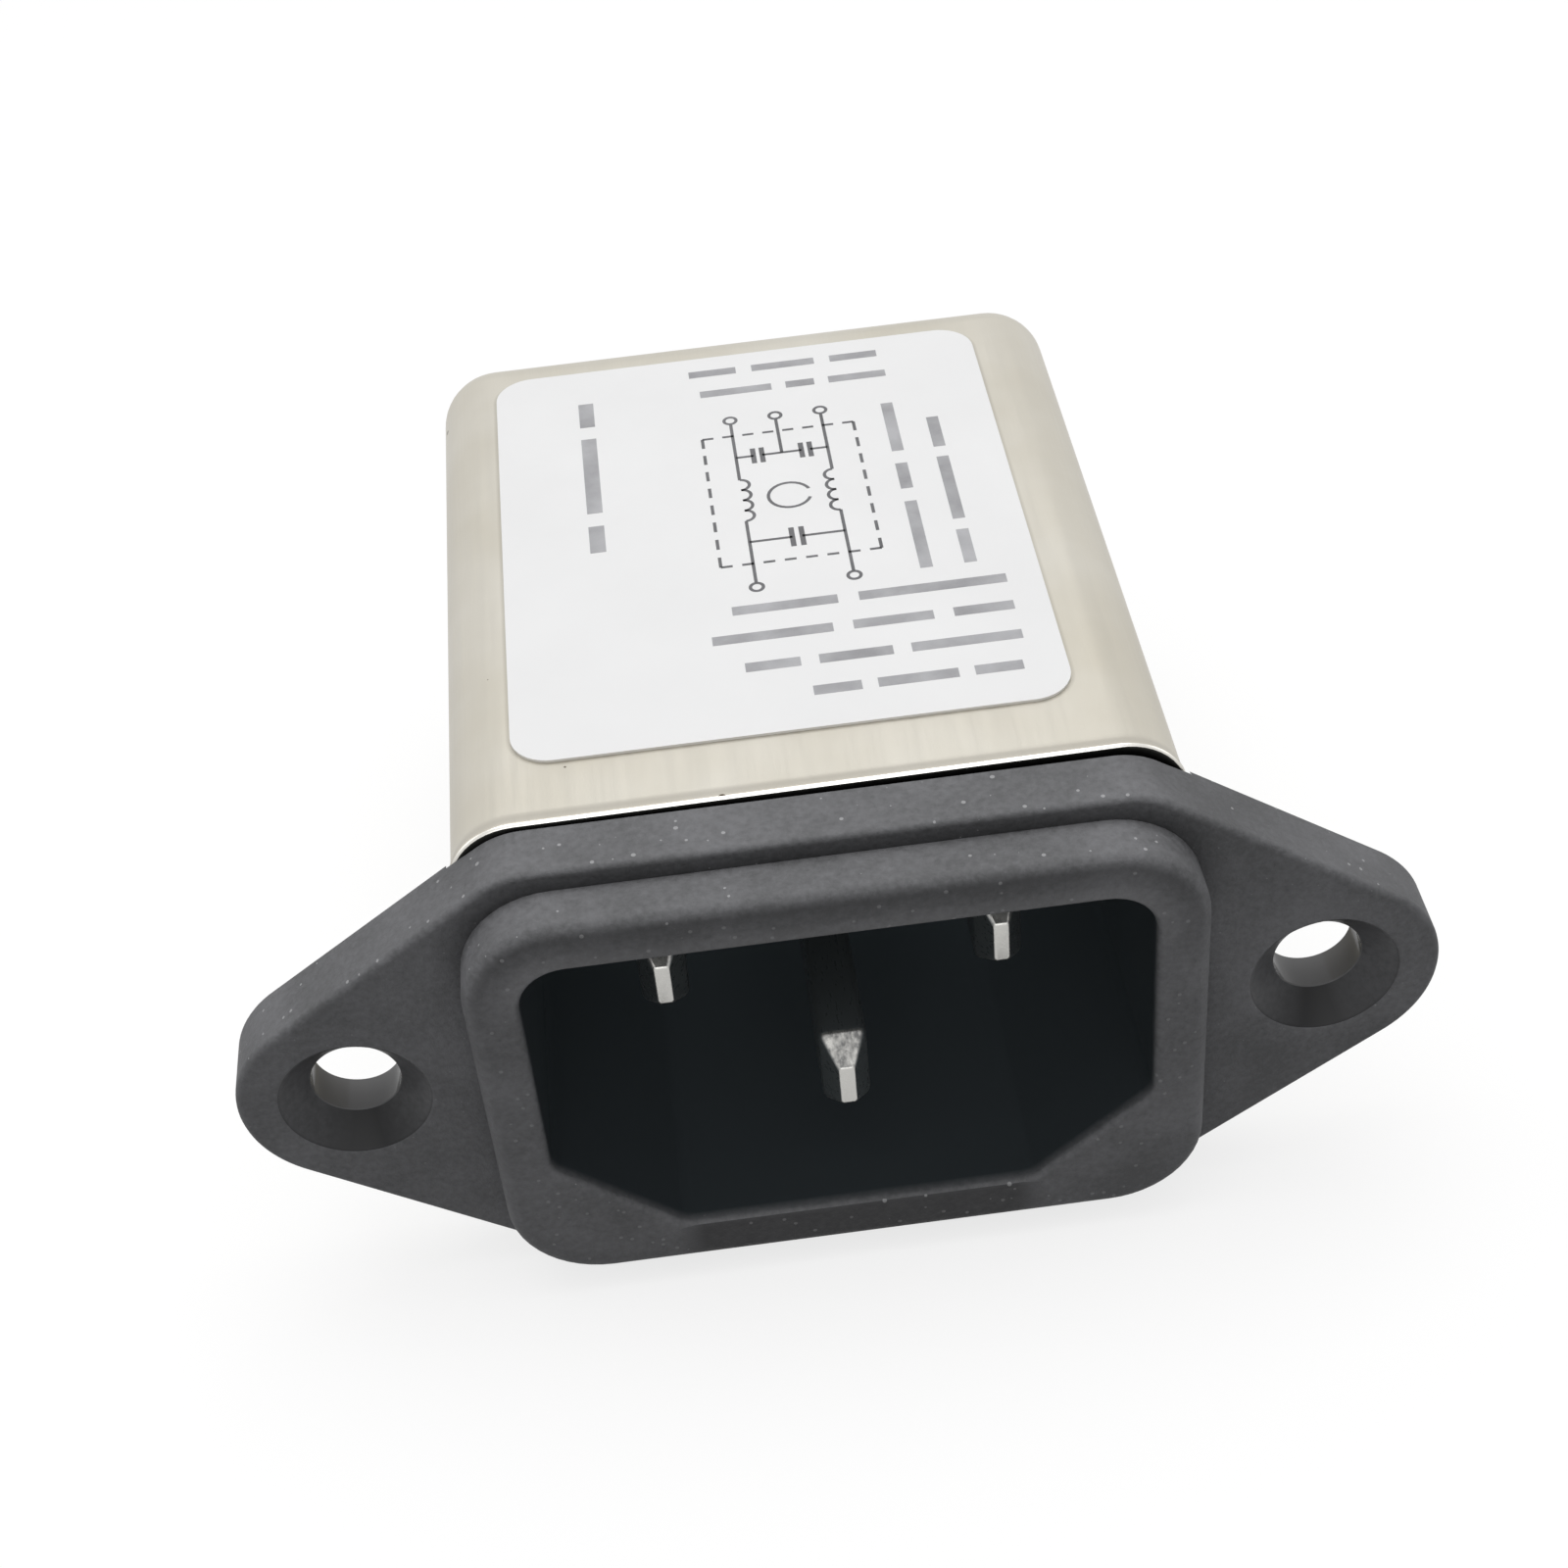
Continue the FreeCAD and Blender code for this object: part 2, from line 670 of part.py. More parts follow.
def earth_tab():
    """Flat blade bent up from a foot that is riveted to the can."""
    rear_y = can_rear_y
    foot_y = rear_y + tab_thickness
    under_z = earth_tab_rise - tab_thickness
    foot_z = earth_tab_rise - earth_tab_foot
    half = tab_width / 2
    outline = [(rear_y, foot_z), (rear_y, earth_tab_rise), (tab_tip_y(), earth_tab_rise),
               (tab_tip_y(), under_z), (foot_y, under_z), (foot_y, foot_z)]
    strip = polygon_prism([V(-half, y, z) for y, z in outline], V(tab_width, 0, 0))
    for y, z, radius in ((rear_y, earth_tab_rise, earth_tab_bend_radius + tab_thickness),
                         (foot_y, under_z, earth_tab_bend_radius)):
        bend = [edge for edge in edges_along(strip, X_AXIS)
                if (edge.CenterOfMass - V(0, y, z)).Length < 1e-4]
        strip = strip.makeFillet(radius, bend)
    point_y = tab_tip_y() - tab_point_length
    plan = [V(-half, rear_y, foot_z), V(-half, point_y, foot_z), V(-tab_point_width / 2, tab_tip_y(), foot_z),
            V(tab_point_width / 2, tab_tip_y(), foot_z), V(half, point_y, foot_z), V(half, rear_y, foot_z)]
    strip = strip.common(polygon_prism(plan, V(0, 0, earth_tab_foot)))
    hole_y = tab_tip_y() - tab_hole_setback
    hole = Part.makeCylinder(tab_hole_dia / 2, tab_thickness, V(0, hole_y, under_z), Z_AXIS)
    rivet_hole = rod(rivet_dia / 2 + rivet_clearance, rear_y, foot_y, (0, rivet_z))
    return strip.cut(hole).cut(rivet_hole)


def earth_rivet():
    """Eyelet rivet through the tab's foot, the can and the ring tag."""
    inner_y = can_inner_rear_y - tag_thickness
    outer_y = can_rear_y + tab_thickness
    at = (0, rivet_z)
    chamfer = rivet_chamfer_share * rivet_head_height
    head = rod(rivet_head_dia / 2, outer_y, outer_y + rivet_head_height, at)
    head = head.makeChamfer(chamfer, edges_at_y(head, outer_y + rivet_head_height))
    shank = rod(rivet_dia / 2, inner_y, outer_y, at)
    clinch = rod(rivet_head_dia / 2, inner_y - rivet_head_height, inner_y, at)
    clinch = clinch.makeChamfer(chamfer, edges_at_y(clinch, inner_y - rivet_head_height))
    bore = rod(rivet_bore / 2, inner_y - rivet_head_height, outer_y + rivet_head_height, at)
    return head.multiFuse([shank, clinch]).removeSplitter().cut(bore)


def earth_lead_at():
    """Place of the earth wire on the board, between a disc capacitor and the earth choke."""
    x = y_cap_left + y_cap_thickness + component_gap + wire_dia / 2
    return (x, can_inner_height / 2 - can_rear_radius - tag_tail_width / 2)


def earth_tag():
    """Ring tag under the rivet's inner end, its tail reaching the earth wire."""
    y = can_inner_rear_y - tag_thickness
    x, z = earth_lead_at()
    ring = rod(tag_dia / 2, y, can_inner_rear_y, (0, rivet_z))
    length = math.hypot(x, z - rivet_z)
    tail = box_between(0, length, y, can_inner_rear_y, -tag_tail_width / 2, tag_tail_width / 2)
    tail.rotate(V(0, 0, 0), Y_AXIS, -math.degrees(math.atan2(z - rivet_z, x)))
    tail.translate(V(0, 0, rivet_z))
    end = rod(tag_tail_width / 2, y, can_inner_rear_y, (x, z))
    hole = rod(rivet_dia / 2 + rivet_clearance, y, can_inner_rear_y, (0, rivet_z))
    return ring.multiFuse([tail, end]).removeSplitter().cut(hole)


def earth_lead():
    """Wire straight from the board to the ring tag."""
    return rod(wire_dia / 2, board_y, can_inner_rear_y - tag_thickness, earth_lead_at())


def load_lead(at):
    """Wire straight from the board, past the components to the leg of a rear tab."""
    end_y = can_inner_rear_y - bush_barb_length - tab_tail_length
    return rod(wire_dia / 2, board_y, end_y, (at[0], lead_z))


def main():
    pieces = {
        "inlet_moulding": inlet_moulding(),
        "line_pin": line_pin(),
        "neutral_pin": neutral_pin(),
        "earth_pin": earth_pin(),
        "shield_can": shield_can(),
        "rating_label": rating_label(),
        "can_liner": can_liner(),
        "circuit_board": circuit_board(),
        "choke_core": main_choke().core(),
        "choke_line_winding": choke_winding(-1),
        "choke_neutral_winding": choke_winding(1),
        "choke_divider": choke_divider(),
        "earth_choke_core": earth_choke().core(),
        "earth_choke_winding": earth_choke_winding(),
        "x_capacitor": x_capacitor(),
        "y_capacitor_line": y_capacitor(-1),
        "y_capacitor_neutral": y_capacitor(1),
        "line_tab": load_tab(line_tab_at),
        "neutral_tab": load_tab(neutral_tab_at),
        "line_bush": load_bush(line_tab_at),
        "neutral_bush": load_bush(neutral_tab_at),
        "earth_tab": earth_tab(),
        "earth_rivet": earth_rivet(),
        "earth_tag": earth_tag(),
        "line_lead": load_lead(line_tab_at),
        "neutral_lead": load_lead(neutral_tab_at),
        "earth_lead": earth_lead(),
    }
    os.makedirs("parts", exist_ok=True)
    for name, shape in pieces.items():
        shape.exportStep(os.path.join("parts", name + ".step"))


main()
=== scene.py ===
import math

import bmesh
import bpy
from bmesh.types import BMEdge, BMFace, BMVert
from bpy.props import FloatProperty, FloatVectorProperty, PointerProperty
from bpy.types import NodeSocket, Operator, Panel, PropertyGroup
from mathutils import Matrix, Vector


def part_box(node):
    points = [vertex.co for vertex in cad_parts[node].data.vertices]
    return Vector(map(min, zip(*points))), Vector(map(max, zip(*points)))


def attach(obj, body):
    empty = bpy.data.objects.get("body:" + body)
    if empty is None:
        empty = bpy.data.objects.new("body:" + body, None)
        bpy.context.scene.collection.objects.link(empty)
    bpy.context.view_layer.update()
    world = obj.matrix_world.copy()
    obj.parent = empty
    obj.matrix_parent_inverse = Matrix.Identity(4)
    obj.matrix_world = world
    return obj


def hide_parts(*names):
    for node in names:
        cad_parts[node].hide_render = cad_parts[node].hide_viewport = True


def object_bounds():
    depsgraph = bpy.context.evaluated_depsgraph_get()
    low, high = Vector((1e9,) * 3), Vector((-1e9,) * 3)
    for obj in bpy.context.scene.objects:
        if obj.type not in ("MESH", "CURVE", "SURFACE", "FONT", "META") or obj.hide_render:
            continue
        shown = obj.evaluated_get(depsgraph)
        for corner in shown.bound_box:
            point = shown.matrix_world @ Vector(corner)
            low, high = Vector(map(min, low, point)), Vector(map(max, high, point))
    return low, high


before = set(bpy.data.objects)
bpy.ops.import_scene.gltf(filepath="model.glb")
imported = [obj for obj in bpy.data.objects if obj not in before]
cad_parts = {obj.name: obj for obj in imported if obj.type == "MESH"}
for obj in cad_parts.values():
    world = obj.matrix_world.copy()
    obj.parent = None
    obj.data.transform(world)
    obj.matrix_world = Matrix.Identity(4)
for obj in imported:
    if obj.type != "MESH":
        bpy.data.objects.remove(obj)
CAD_BOX = [list(corner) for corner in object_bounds()]

bl_info = {
    "name": "Mains filter with appliance inlet",
    "version": (1, 0, 0),
    "blender": (4, 5, 0),
    "location": "View3D > Sidebar > Mains filter",
    "description": "Builds the moulded inlet, drawn can, label and terminals of a mains filter",
    "category": "Object",
}

MM = 0.001
BODY = "root"
SIDES = (-1, 1)
INLET_LOW, INLET_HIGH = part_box("inlet_moulding")
CAN_LOW, CAN_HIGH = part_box("shield_can")
LABEL_LOW, LABEL_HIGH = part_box("rating_label")

# How far the CAD's lip stands out from the can's sides, and the gap between the lip and the flange
LIP = 0.15 * MM
SLOT = 0.12 * MM

# Thickness of the print, half of it sunk into the label
PRINT = 0.012 * MM

# Range that holds most of a noise texture's values
NOISE_LOW, NOISE_HIGH = 0.3, 0.7

# Two places this close, in metres, count as one
NEAR = 1e-6

# A face counts as square to an axis when its normal has this share along it
FLAT = 0.999

# Grid in which nodes are set out in the editor: nodes to a row, and the size of a cell
NODES_TO_ROW = 8
NODE_CELL = (220, 320)


# Settings

def length(label, words, size):
    """Property for a size, its default given in millimetres."""
    return FloatProperty(name=label, description=words, default=size * MM, min=0.0, precision=5,
                         unit="LENGTH")


def colour(label, words, value):
    """Property for a colour."""
    return FloatVectorProperty(name=label, description=words, default=value, size=3, min=0.0, max=1.0,
                               subtype="COLOR")


def share(label, words, value):
    """Property for a share from 0 to 1."""
    return FloatProperty(name=label, description=words, default=value, min=0.0, max=1.0,
                         subtype="FACTOR")


def power(label, words, value):
    """Property for a lamp's power."""
    return FloatProperty(name=label, description=words, default=value, min=0.0, unit="POWER")


class InletSettings(PropertyGroup):
    """Sizes and colours of the moulded inlet"""

    ear_radius: length("Ear radius", "Radius of the two screw ears", 4.8)
    flange_thickness: length("Flange thickness", "Thickness of the flange", 2.9)
    flange_flat: length("Flange flat", "Half length of the flange's straight upper edge", 12.6)
    flange_corner: length("Flange corner", "Rounding where the flange's flanks meet its upper edge", 3.2)
    flange_edge: length("Flange edge", "Rounding of the flange's front edge", 0.3)
    collar_width: length("Collar width", "Width of the collar round the socket", 29.4)
    collar_height: length("Collar height", "Height of the collar round the socket", 20.3)
    collar_corner: length("Collar corner", "Rounding of the collar's four corners", 4.0)
    rim_radius: length("Rim rounding", "Rounding of the collar's outer rim", 0.65)
    mouth_radius: length("Mouth rounding", "Rounding of the socket's mouth", 0.3)
    well_width: length("Socket width", "Width of the socket", 25.0)
    well_height: length("Socket height", "Height of the socket", 15.8)
    well_depth: length("Socket depth", "Depth of the socket from the rim", 17.2)
    well_corner: length("Socket corner", "Rounding of the socket's upper corners", 2.0)
    key_width: length("Key width", "Width of the socket's two cut corners", 5.2)
    key_height: length("Key height", "Height of the socket's two cut corners", 4.45)
    key_corner: length("Key rounding", "Rounding at the ends of the cut corners", 1.0)
    hole_radius: length("Hole radius", "Radius of the screw holes", 1.85)
    countersink_radius: length("Countersink radius", "Radius of the countersinks at the front", 3.1)
    seat_edge: length("Seat edge", "Rounding of the edge that faces the can's lip", 0.2)
    dark: colour("Plastic, dark", "Darker tone of the grained plastic", (0.080, 0.081, 0.084))
    light: colour("Plastic, light", "Lighter tone of the grained plastic", (0.141, 0.142, 0.149))
    # This tone darkens a strip of the rim under the socket's floor.
    rubbed: colour("Plastic, rubbed", "Tone of the rim under the socket, which plugs rub",
                   (0.050, 0.050, 0.052))
    # This tone is the polished countersinks' finish, painted darker as shade where they face up or down; it
    # is also the painted shade in the crevice above the collar and under its rim.
    smooth: colour("Plastic, smooth", "Tone of the polished countersinks", (0.017, 0.017, 0.018))
    bore: colour("Plastic, bores", "Tone of the glossy screw holes", (0.130, 0.130, 0.132))
    # Painted light: the socket's tone runs from this one at its mouth to a lighter one at its floor, to
    # offset the shade deep inside it
    socket: colour("Plastic, socket", "Tone of the satin socket at its mouth", (0.030, 0.036, 0.040))
    socket_painted_light_deep: colour("Plastic, deep", "Tone of the satin socket at its floor", (0.115, 0.138, 0.152))
    dust: colour("Dust", "Colour of the dust", (0.55, 0.55, 0.56))


class CanSettings(PropertyGroup):
    """Sizes and colours of the drawn can"""

    wall: length("Wall", "Thickness of the sheet", 0.5)
    corner_radius: length("Corner radius", "Rounding of the four long edges", 2.8)
    rear_radius: length("Rear radius", "Rounding round the closed end", 2.2)
    lip_flare: length("Lip flare", "How far the lip stands out at the mouth", 0.07)
    lean: length("Lean", "How far the lip leans towards the flange at the left and away at the right", 0.12)
    detent_depth: length("Detent depth", "Depth of the pressed bars in the narrow sides", 0.45)
    warm: colour("Nickel, warm", "Warmer tone of the satin nickel", (0.545, 0.515, 0.442))
    cool: colour("Nickel, cool", "Cooler tone of the satin nickel", (0.625, 0.602, 0.545))
    # Besides the specks, this colour paints the shade behind the lip and the shadow line round the label
    specks_and_painted_shade_tone: colour("Specks", "Colour of the small dark specks", (0.10, 0.08, 0.06))
    # Painted highlight: this bright colour stands for the light that the lip catches
    cut: colour("Lip", "Colour of the rubbed lip at the mouth", (0.88, 0.87, 0.84))
    # Painted shade: this dark colour stands for the gap between the lip and the flange
    sheared: colour("Sheared face", "Colour of the bare steel at the sheet's sheared face",
                    (0.03, 0.03, 0.028))


class LabelSettings(PropertyGroup):
    """Sizes and colours of the label and its print"""

    corner_radius: length("Corner radius", "Rounding of the label's corners", 1.7)
    stroke: length("Line width", "Width of the printed lines", 0.15)
    film: colour("Film", "Colour of the label film", (0.75, 0.75, 0.752))
    film_edge: colour("Film edge", "Colour of the label's cut edge", (0.68, 0.67, 0.64))
    ink: colour("Ink", "Colour of the circuit symbol", (0.10, 0.10, 0.105))
    pale_ink: colour("Pale ink", "Colour of the plain printed blocks", (0.27, 0.27, 0.28))


class TerminalSettings(PropertyGroup):
    """Sizes and colours of the pins and the rear tabs"""

    tip_length: length("Tip length", "Length of a pin's tapered tip", 1.25)
    tip_thickness: length("Tip thickness", "Thickness of a pin at its end", 0.66)
    tip_width: length("Tip width", "Width of a pin at its end", 2.08)
    pin_corner: length("Pin corner", "Rounding of a pin's four long edges", 0.4)
    edge: length("Edge", "Rounding of the edges of pins and tabs", 0.16)
    nickel: colour("Nickel", "Tone of the pins' nickel plating", (0.60, 0.592, 0.565))
    worn: colour("Worn nickel", "Tone of the pins where the plating is rubbed", (0.19, 0.19, 0.188))
    # Painted shade: this dark tone stands for the dark socket that the flanks reflect
    flank: colour("Dull nickel", "Tone of the pins' dull flanks", (0.100, 0.112, 0.116))
    tin: colour("Tin", "Tone of the tabs' tin plating", (0.70, 0.69, 0.66))
    dull_tin: colour("Dull tin", "Tone of the tabs where the tin is dull", (0.52, 0.51, 0.49))


class StageSettings(PropertyGroup):
    """Floor, lights and background"""

    floor: colour("Floor", "Colour of the floor as it lights the object", (0.36, 0.36, 0.36))
    lit_floor: colour("Seen floor", "Colour of the floor as it is seen", (0.95, 0.95, 0.95))
    paper: share("Paper white", "Share of plain white in the floor near the object", 0.76)
    key: power("Key light", "Power of the softbox overhead", 0.58)
    fill: power("Fill light", "Power of the side softboxes", 0.16)
    front: power("Front light", "Power of the softbox beside the camera", 0.45)
    room: share("Room light", "Strength of the even light from all round", 0.06)
    ceiling: FloatProperty(name="Ceiling light",
                           description="Strength of the soft light from straight above",
                           default=1.45, min=0.0)


# Mesh helpers

def once(items):
    """The items in their order, each once."""
    return list(dict.fromkeys(items))


def of_kind(items, kind):
    """The items of one kind, out of a mixed list of verts, edges and faces."""
    return [item for item in items if isinstance(item, kind)]


def edges_at_y(bm, y):
    """Edges that lie in the plane at y."""
    return [edge for edge in bm.edges if all(abs(vert.co.y - y) < NEAR for vert in edge.verts)]


def edges_along(verts, axis):
    """Edges of the given verts that run along one axis, 0 to 2 for X to Z."""
    others = [other for other in range(3) if other != axis]
    return [edge for edge in once(edge for vert in verts for edge in vert.link_edges)
            if all(abs(edge.verts[0].co[other] - edge.verts[1].co[other]) < NEAR for other in others)]


def round_off(bm, geom, offset, segments, affect="EDGES"):
    """Rounds edges to a radius, or the corners of a flat outline from a reach to each side."""
    bmesh.ops.bevel(bm, geom=geom, offset=offset, offset_type="OFFSET", segments=segments, profile=0.5,
                    affect=affect, clamp_overlap=True, material=-1)


def add_box(bm, low, high):
    """Box from its lowest to its highest corner."""
    low, high = Vector(low), Vector(high)
    place = Matrix.Translation((low + high) / 2) @ Matrix.Diagonal((*(high - low), 1.0))
    return bmesh.ops.create_cube(bm, size=1.0, matrix=place)["verts"]


def add_block(bm, low, high, corner, segments):
    """Box along Y with its four long edges rounded."""
    round_off(bm, edges_along(add_box(bm, low, high), 1), corner, segments)


def add_turned(bm, profile, centre, steps):
    """Closed body turned about an axis along Y from points of (radius, y)."""
    x, z = centre
    verts = [bm.verts.new((x + radius, y, z)) for radius, y in profile]
    edges = [bm.edges.new(pair) for pair in zip(verts, verts[1:])]
    bmesh.ops.spin(bm, geom=verts + edges, cent=(x, 0, z), axis=(0, 1, 0), angle=math.tau, steps=steps,
                   use_merge=True)


def move_y(bm, verts, distance):
    """Moves verts along Y."""
    bmesh.ops.translate(bm, verts=verts, vec=(0, distance, 0))


def tidy(bm):
    """Merges doubles and points the faces outwards."""
    bmesh.ops.remove_doubles(bm, verts=bm.verts, dist=1e-8)
    bmesh.ops.recalc_face_normals(bm, faces=bm.faces)


def to_object(name, bm):
    """New object in the scene from a bmesh."""
    mesh = bpy.data.meshes.new(name)
    bm.to_mesh(mesh)
    bm.free()
    made = bpy.data.objects.new(name, mesh)
    bpy.context.scene.collection.objects.link(made)
    return made


def cut_with(made, cutter):
    """Cuts one object with another, and removes the cutter."""
    step = made.modifiers.new("cut", "BOOLEAN")
    step.operation = "DIFFERENCE"
    step.solver = "EXACT"
    step.object = cutter
    mesh = bpy.data.meshes.new_from_object(made.evaluated_get(bpy.context.evaluated_depsgraph_get()))
    made.modifiers.remove(step)
    old = made.data
    made.data = mesh
    bpy.data.meshes.remove(old)
    bpy.data.objects.remove(cutter)


def finish_piece(made, material, nodes, crease=35.0):
    """Shades a piece, gives it a material and attaches it to the body, hiding the CAD nodes that it stands in
    for.
    """
    made.data.materials.clear()
    made.data.materials.append(material)
    made.data.shade_smooth()
    made.data.set_sharp_from_angle(angle=math.radians(crease))
    weighted = made.modifiers.new("even shading", "WEIGHTED_NORMAL")
    weighted.keep_sharp = True
    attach(made, BODY)
    if nodes:
        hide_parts(*nodes)


def merged_copy(node, name):
    """Copy of a CAD node with its triangles joined up and its flat faces made whole."""
    bm = bmesh.new()
    bm.from_mesh(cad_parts[node].data)
    bmesh.ops.remove_doubles(bm, verts=bm.verts, dist=1e-7)
    bmesh.ops.dissolve_limit(bm, angle_limit=math.radians(0.2), verts=bm.verts, edges=bm.edges)
    return to_object(name, bm)


# Node helpers

def put(tree, kind, inputs=None, **settings):
    """Adds a shader node with its settings, and input values or links, in the next place of a grid."""
    row, column = divmod(len(tree.nodes), NODES_TO_ROW)
    made = tree.nodes.new("ShaderNode" + kind)
    made.location = (NODE_CELL[0] * column, -NODE_CELL[1] * row)
    for name, value in settings.items():
        setattr(made, name, value)
    for name, value in (inputs or {}).items():
        if isinstance(value, NodeSocket):
            tree.links.new(value, made.inputs[name])
        else:
            made.inputs[name].default_value = value
    return made


def math_node(tree, operation, first, second=0.0, clamp=False):
    """Output of a Math node."""
    return put(tree, "Math", {0: first, 1: second}, operation=operation, use_clamp=clamp).outputs[0]


def times(tree, first, second):
    """Product of two values."""
    return math_node(tree, "MULTIPLY", first, second)


def mix_colour(tree, factor, first, second):
    """Output of a Mix node for colours."""
    first, second = (end if isinstance(end, NodeSocket) else (*end, 1.0) for end in (first, second))
    return put(tree, "Mix", {0: factor, 6: first, 7: second}, data_type="RGBA").outputs[2]


def remap(tree, value, low, high, start=0.0, end=1.0, clamp=False):
    """Output that runs from low to high as a value runs from start to end."""
    made = put(tree, "MapRange", {"Value": value, "From Min": start, "From Max": end,
                                  "To Min": low, "To Max": high}, clamp=clamp)
    return made.outputs["Result"]


def ramp(tree, value, start, end, low=0.0, high=1.0):
    """Output that runs from low to high as a value runs from start to end, and holds beyond both."""
    return remap(tree, value, low, high, start, end, clamp=True)


def spread(tree, noise, low, high):
    """Noise carried over to a range from low to high."""
    return remap(tree, noise, low, high, NOISE_LOW, NOISE_HIGH)


def split(tree, vector):
    """The three parts of a vector."""
    return put(tree, "SeparateXYZ", {"Vector": vector}).outputs


def normal_parts(tree):
    """The three parts of the way that the surface faces."""
    return split(tree, put(tree, "NewGeometry").outputs["Normal"])


def joined_length(tree, parts):
    """Length of a vector from its parts."""
    spot = put(tree, "CombineXYZ", parts).outputs["Vector"]
    return put(tree, "VectorMath", {0: spot}, operation="LENGTH").outputs["Value"]


def from_core(tree, parts, core, **rest):
    """Distance from a rectangle, given as the middle and half width on each axis."""
    gaps = dict(rest)
    for axis, (middle, half) in core.items():
        offset = math_node(tree, "ABSOLUTE", math_node(tree, "SUBTRACT", parts[axis], middle))
        gaps[axis] = math_node(tree, "MAXIMUM", math_node(tree, "SUBTRACT", offset, half), 0.0)
    return joined_length(tree, gaps)


# Shared effects

def grain_nodes(tree, given):
    """Fine moulded or coated grain, with a slow change of shade."""
    fine = put(tree, "TexNoise", {"Vector": given["Place"], "Scale": given["Scale"], "Detail": 3.0,
                                  "Roughness": 0.6})
    slow = put(tree, "TexNoise", {"Vector": given["Place"], "Scale": given["Patch Scale"], "Detail": 4.0,
                                  "Roughness": 0.55})
    return fine.outputs["Fac"], spread(tree, slow.outputs["Fac"], 0.0, 1.0)


def speck_nodes(tree, given):
    """Few small specks, spread at random."""
    cells = put(tree, "TexVoronoi", {"Vector": given["Place"], "Scale": given["Scale"]}).outputs
    pick = put(tree, "SeparateColor", {"Color": cells["Color"]}).outputs
    chosen = math_node(tree, "LESS_THAN", pick["Red"], given["Share"])
    near = math_node(tree, "LESS_THAN", cells["Distance"], times(tree, pick["Green"], given["Size"]))
    return (times(tree, chosen, near),)


def drawn_nodes(tree, given):
    """Marks drawn out along Y, as on pulled or rolled metal."""
    parts = split(tree, given["Place"])
    scaled = {axis: times(tree, parts[axis], given[size])
              for axis, size in (("X", "Across"), ("Y", "Along"), ("Z", "Across"))}
    spot = put(tree, "CombineXYZ", scaled).outputs["Vector"]
    marks = put(tree, "TexNoise", {"Vector": spot, "Scale": 1.0, "Detail": 3.0, "Roughness": 0.65})
    return (marks.outputs["Fac"],)


# Each effect's nodes, the values that a material gives it and what it puts out
EFFECTS = {
    "fine grain": (grain_nodes, {"Scale": 8.0, "Patch Scale": 0.2}, ("Height", "Shade")),
    "scattered specks": (speck_nodes, {"Scale": 0.5, "Size": 0.05, "Share": 0.3}, ("Mask",)),
    "drawn marks": (drawn_nodes, {"Across": 6.0, "Along": 0.15}, ("Height",)),
}


def new_group(name):
    """Shader node group of a shared effect, with named sockets."""
    build, values, results = EFFECTS[name]
    group = bpy.data.node_groups.new(name, "ShaderNodeTree")
    group.interface.new_socket("Place", in_out="INPUT", socket_type="NodeSocketVector")
    for label, value in values.items():
        socket = group.interface.new_socket(label, in_out="INPUT", socket_type="NodeSocketFloat")
        socket.default_value = value
    for label in results:
        group.interface.new_socket(label, in_out="OUTPUT", socket_type="NodeSocketFloat")
    start = group.nodes.new("NodeGroupInput")
    end = group.nodes.new("NodeGroupOutput")
    end.location = (0, NODE_CELL[1])
    for label, result in zip(results, build(group, start.outputs)):
        group.links.new(result, end.inputs[label])
    return group


def effect(tree, name, place, values):
    """Outputs of a shared effect, which is built on its first use and then placed in each material."""
    group = bpy.data.node_groups.get(name) or new_group(name)
    return put(tree, "Group", {"Place": place, **values}, node_tree=group).outputs


# Materials

def start_material(name, values):
    """New material: its tree, its shader's sockets and its place in millimetres."""
    made = bpy.data.materials.new(name)
    made.use_nodes = True
    tree = made.node_tree
    tree.nodes.clear()
    shader = put(tree, "BsdfPrincipled", values)
    put(tree, "OutputMaterial", {"Surface": shader.outputs["BSDF"]})
    spot = put(tree, "TexCoord").outputs["Object"]
    scaled = put(tree, "Mapping", {"Vector": spot, "Scale": (1 / MM, 1 / MM, 1 / MM)})
    return made, tree, shader.inputs, scaled.outputs["Vector"]


def bump(tree, shader, height, strength, depth):
    """Joins a height to the shader's normal, its depth in millimetres."""
    made = put(tree, "Bump", {"Strength": strength, "Distance": depth * MM, "Height": height})
    tree.links.new(made.outputs["Normal"], shader["Normal"])


def moulded_places(tree, parts, look):
    """Masks of the countersinks, the screw holes, the socket and a darker strip of the rim under it, and of
    the socket's depth, along which its tone is painted lighter.
    """
    across = math_node(tree, "ABSOLUTE", parts["X"])
    rise = math_node(tree, "ABSOLUTE", parts["Z"])
    reach = math_node(tree, "SUBTRACT", across, (INLET_HIGH.x - look.ear_radius) / MM)
    radius = joined_length(tree, {"X": reach, "Z": rise})
    ring = math_node(tree, "LESS_THAN", radius, look.countersink_radius / MM + 0.02)
    cones = times(tree, ring, math_node(tree, "LESS_THAN", parts["Y"], -0.02))
    bores = math_node(tree, "LESS_THAN", radius, look.hole_radius / MM + 0.04)
    wide = math_node(tree, "LESS_THAN", across, (look.well_width / 2 + look.mouth_radius) / MM)
    tall = math_node(tree, "LESS_THAN", rise, (look.well_height / 2 + look.mouth_radius) / MM)
    rim = INLET_LOW.y / MM
    sunk = ramp(tree, parts["Y"], rim + 0.1, rim + 0.7)
    socket = times(tree, times(tree, wide, tall), sunk)
    # Darker strip of the rim below the socket's floor, between its cut corners
    below = math_node(tree, "LESS_THAN", parts["Z"], -look.well_height / 2 / MM - 0.1)
    half = (look.well_width / 2 - look.key_width) / MM
    strip = times(tree, below, ramp(tree, across, half + 0.6, half - 0.6))
    rubbed = math_node(tree, "SUBTRACT", strip, sunk, True)
    return cones, bores, socket, rubbed, ramp(tree, parts["Y"], rim + 1.0, rim + 16.0)


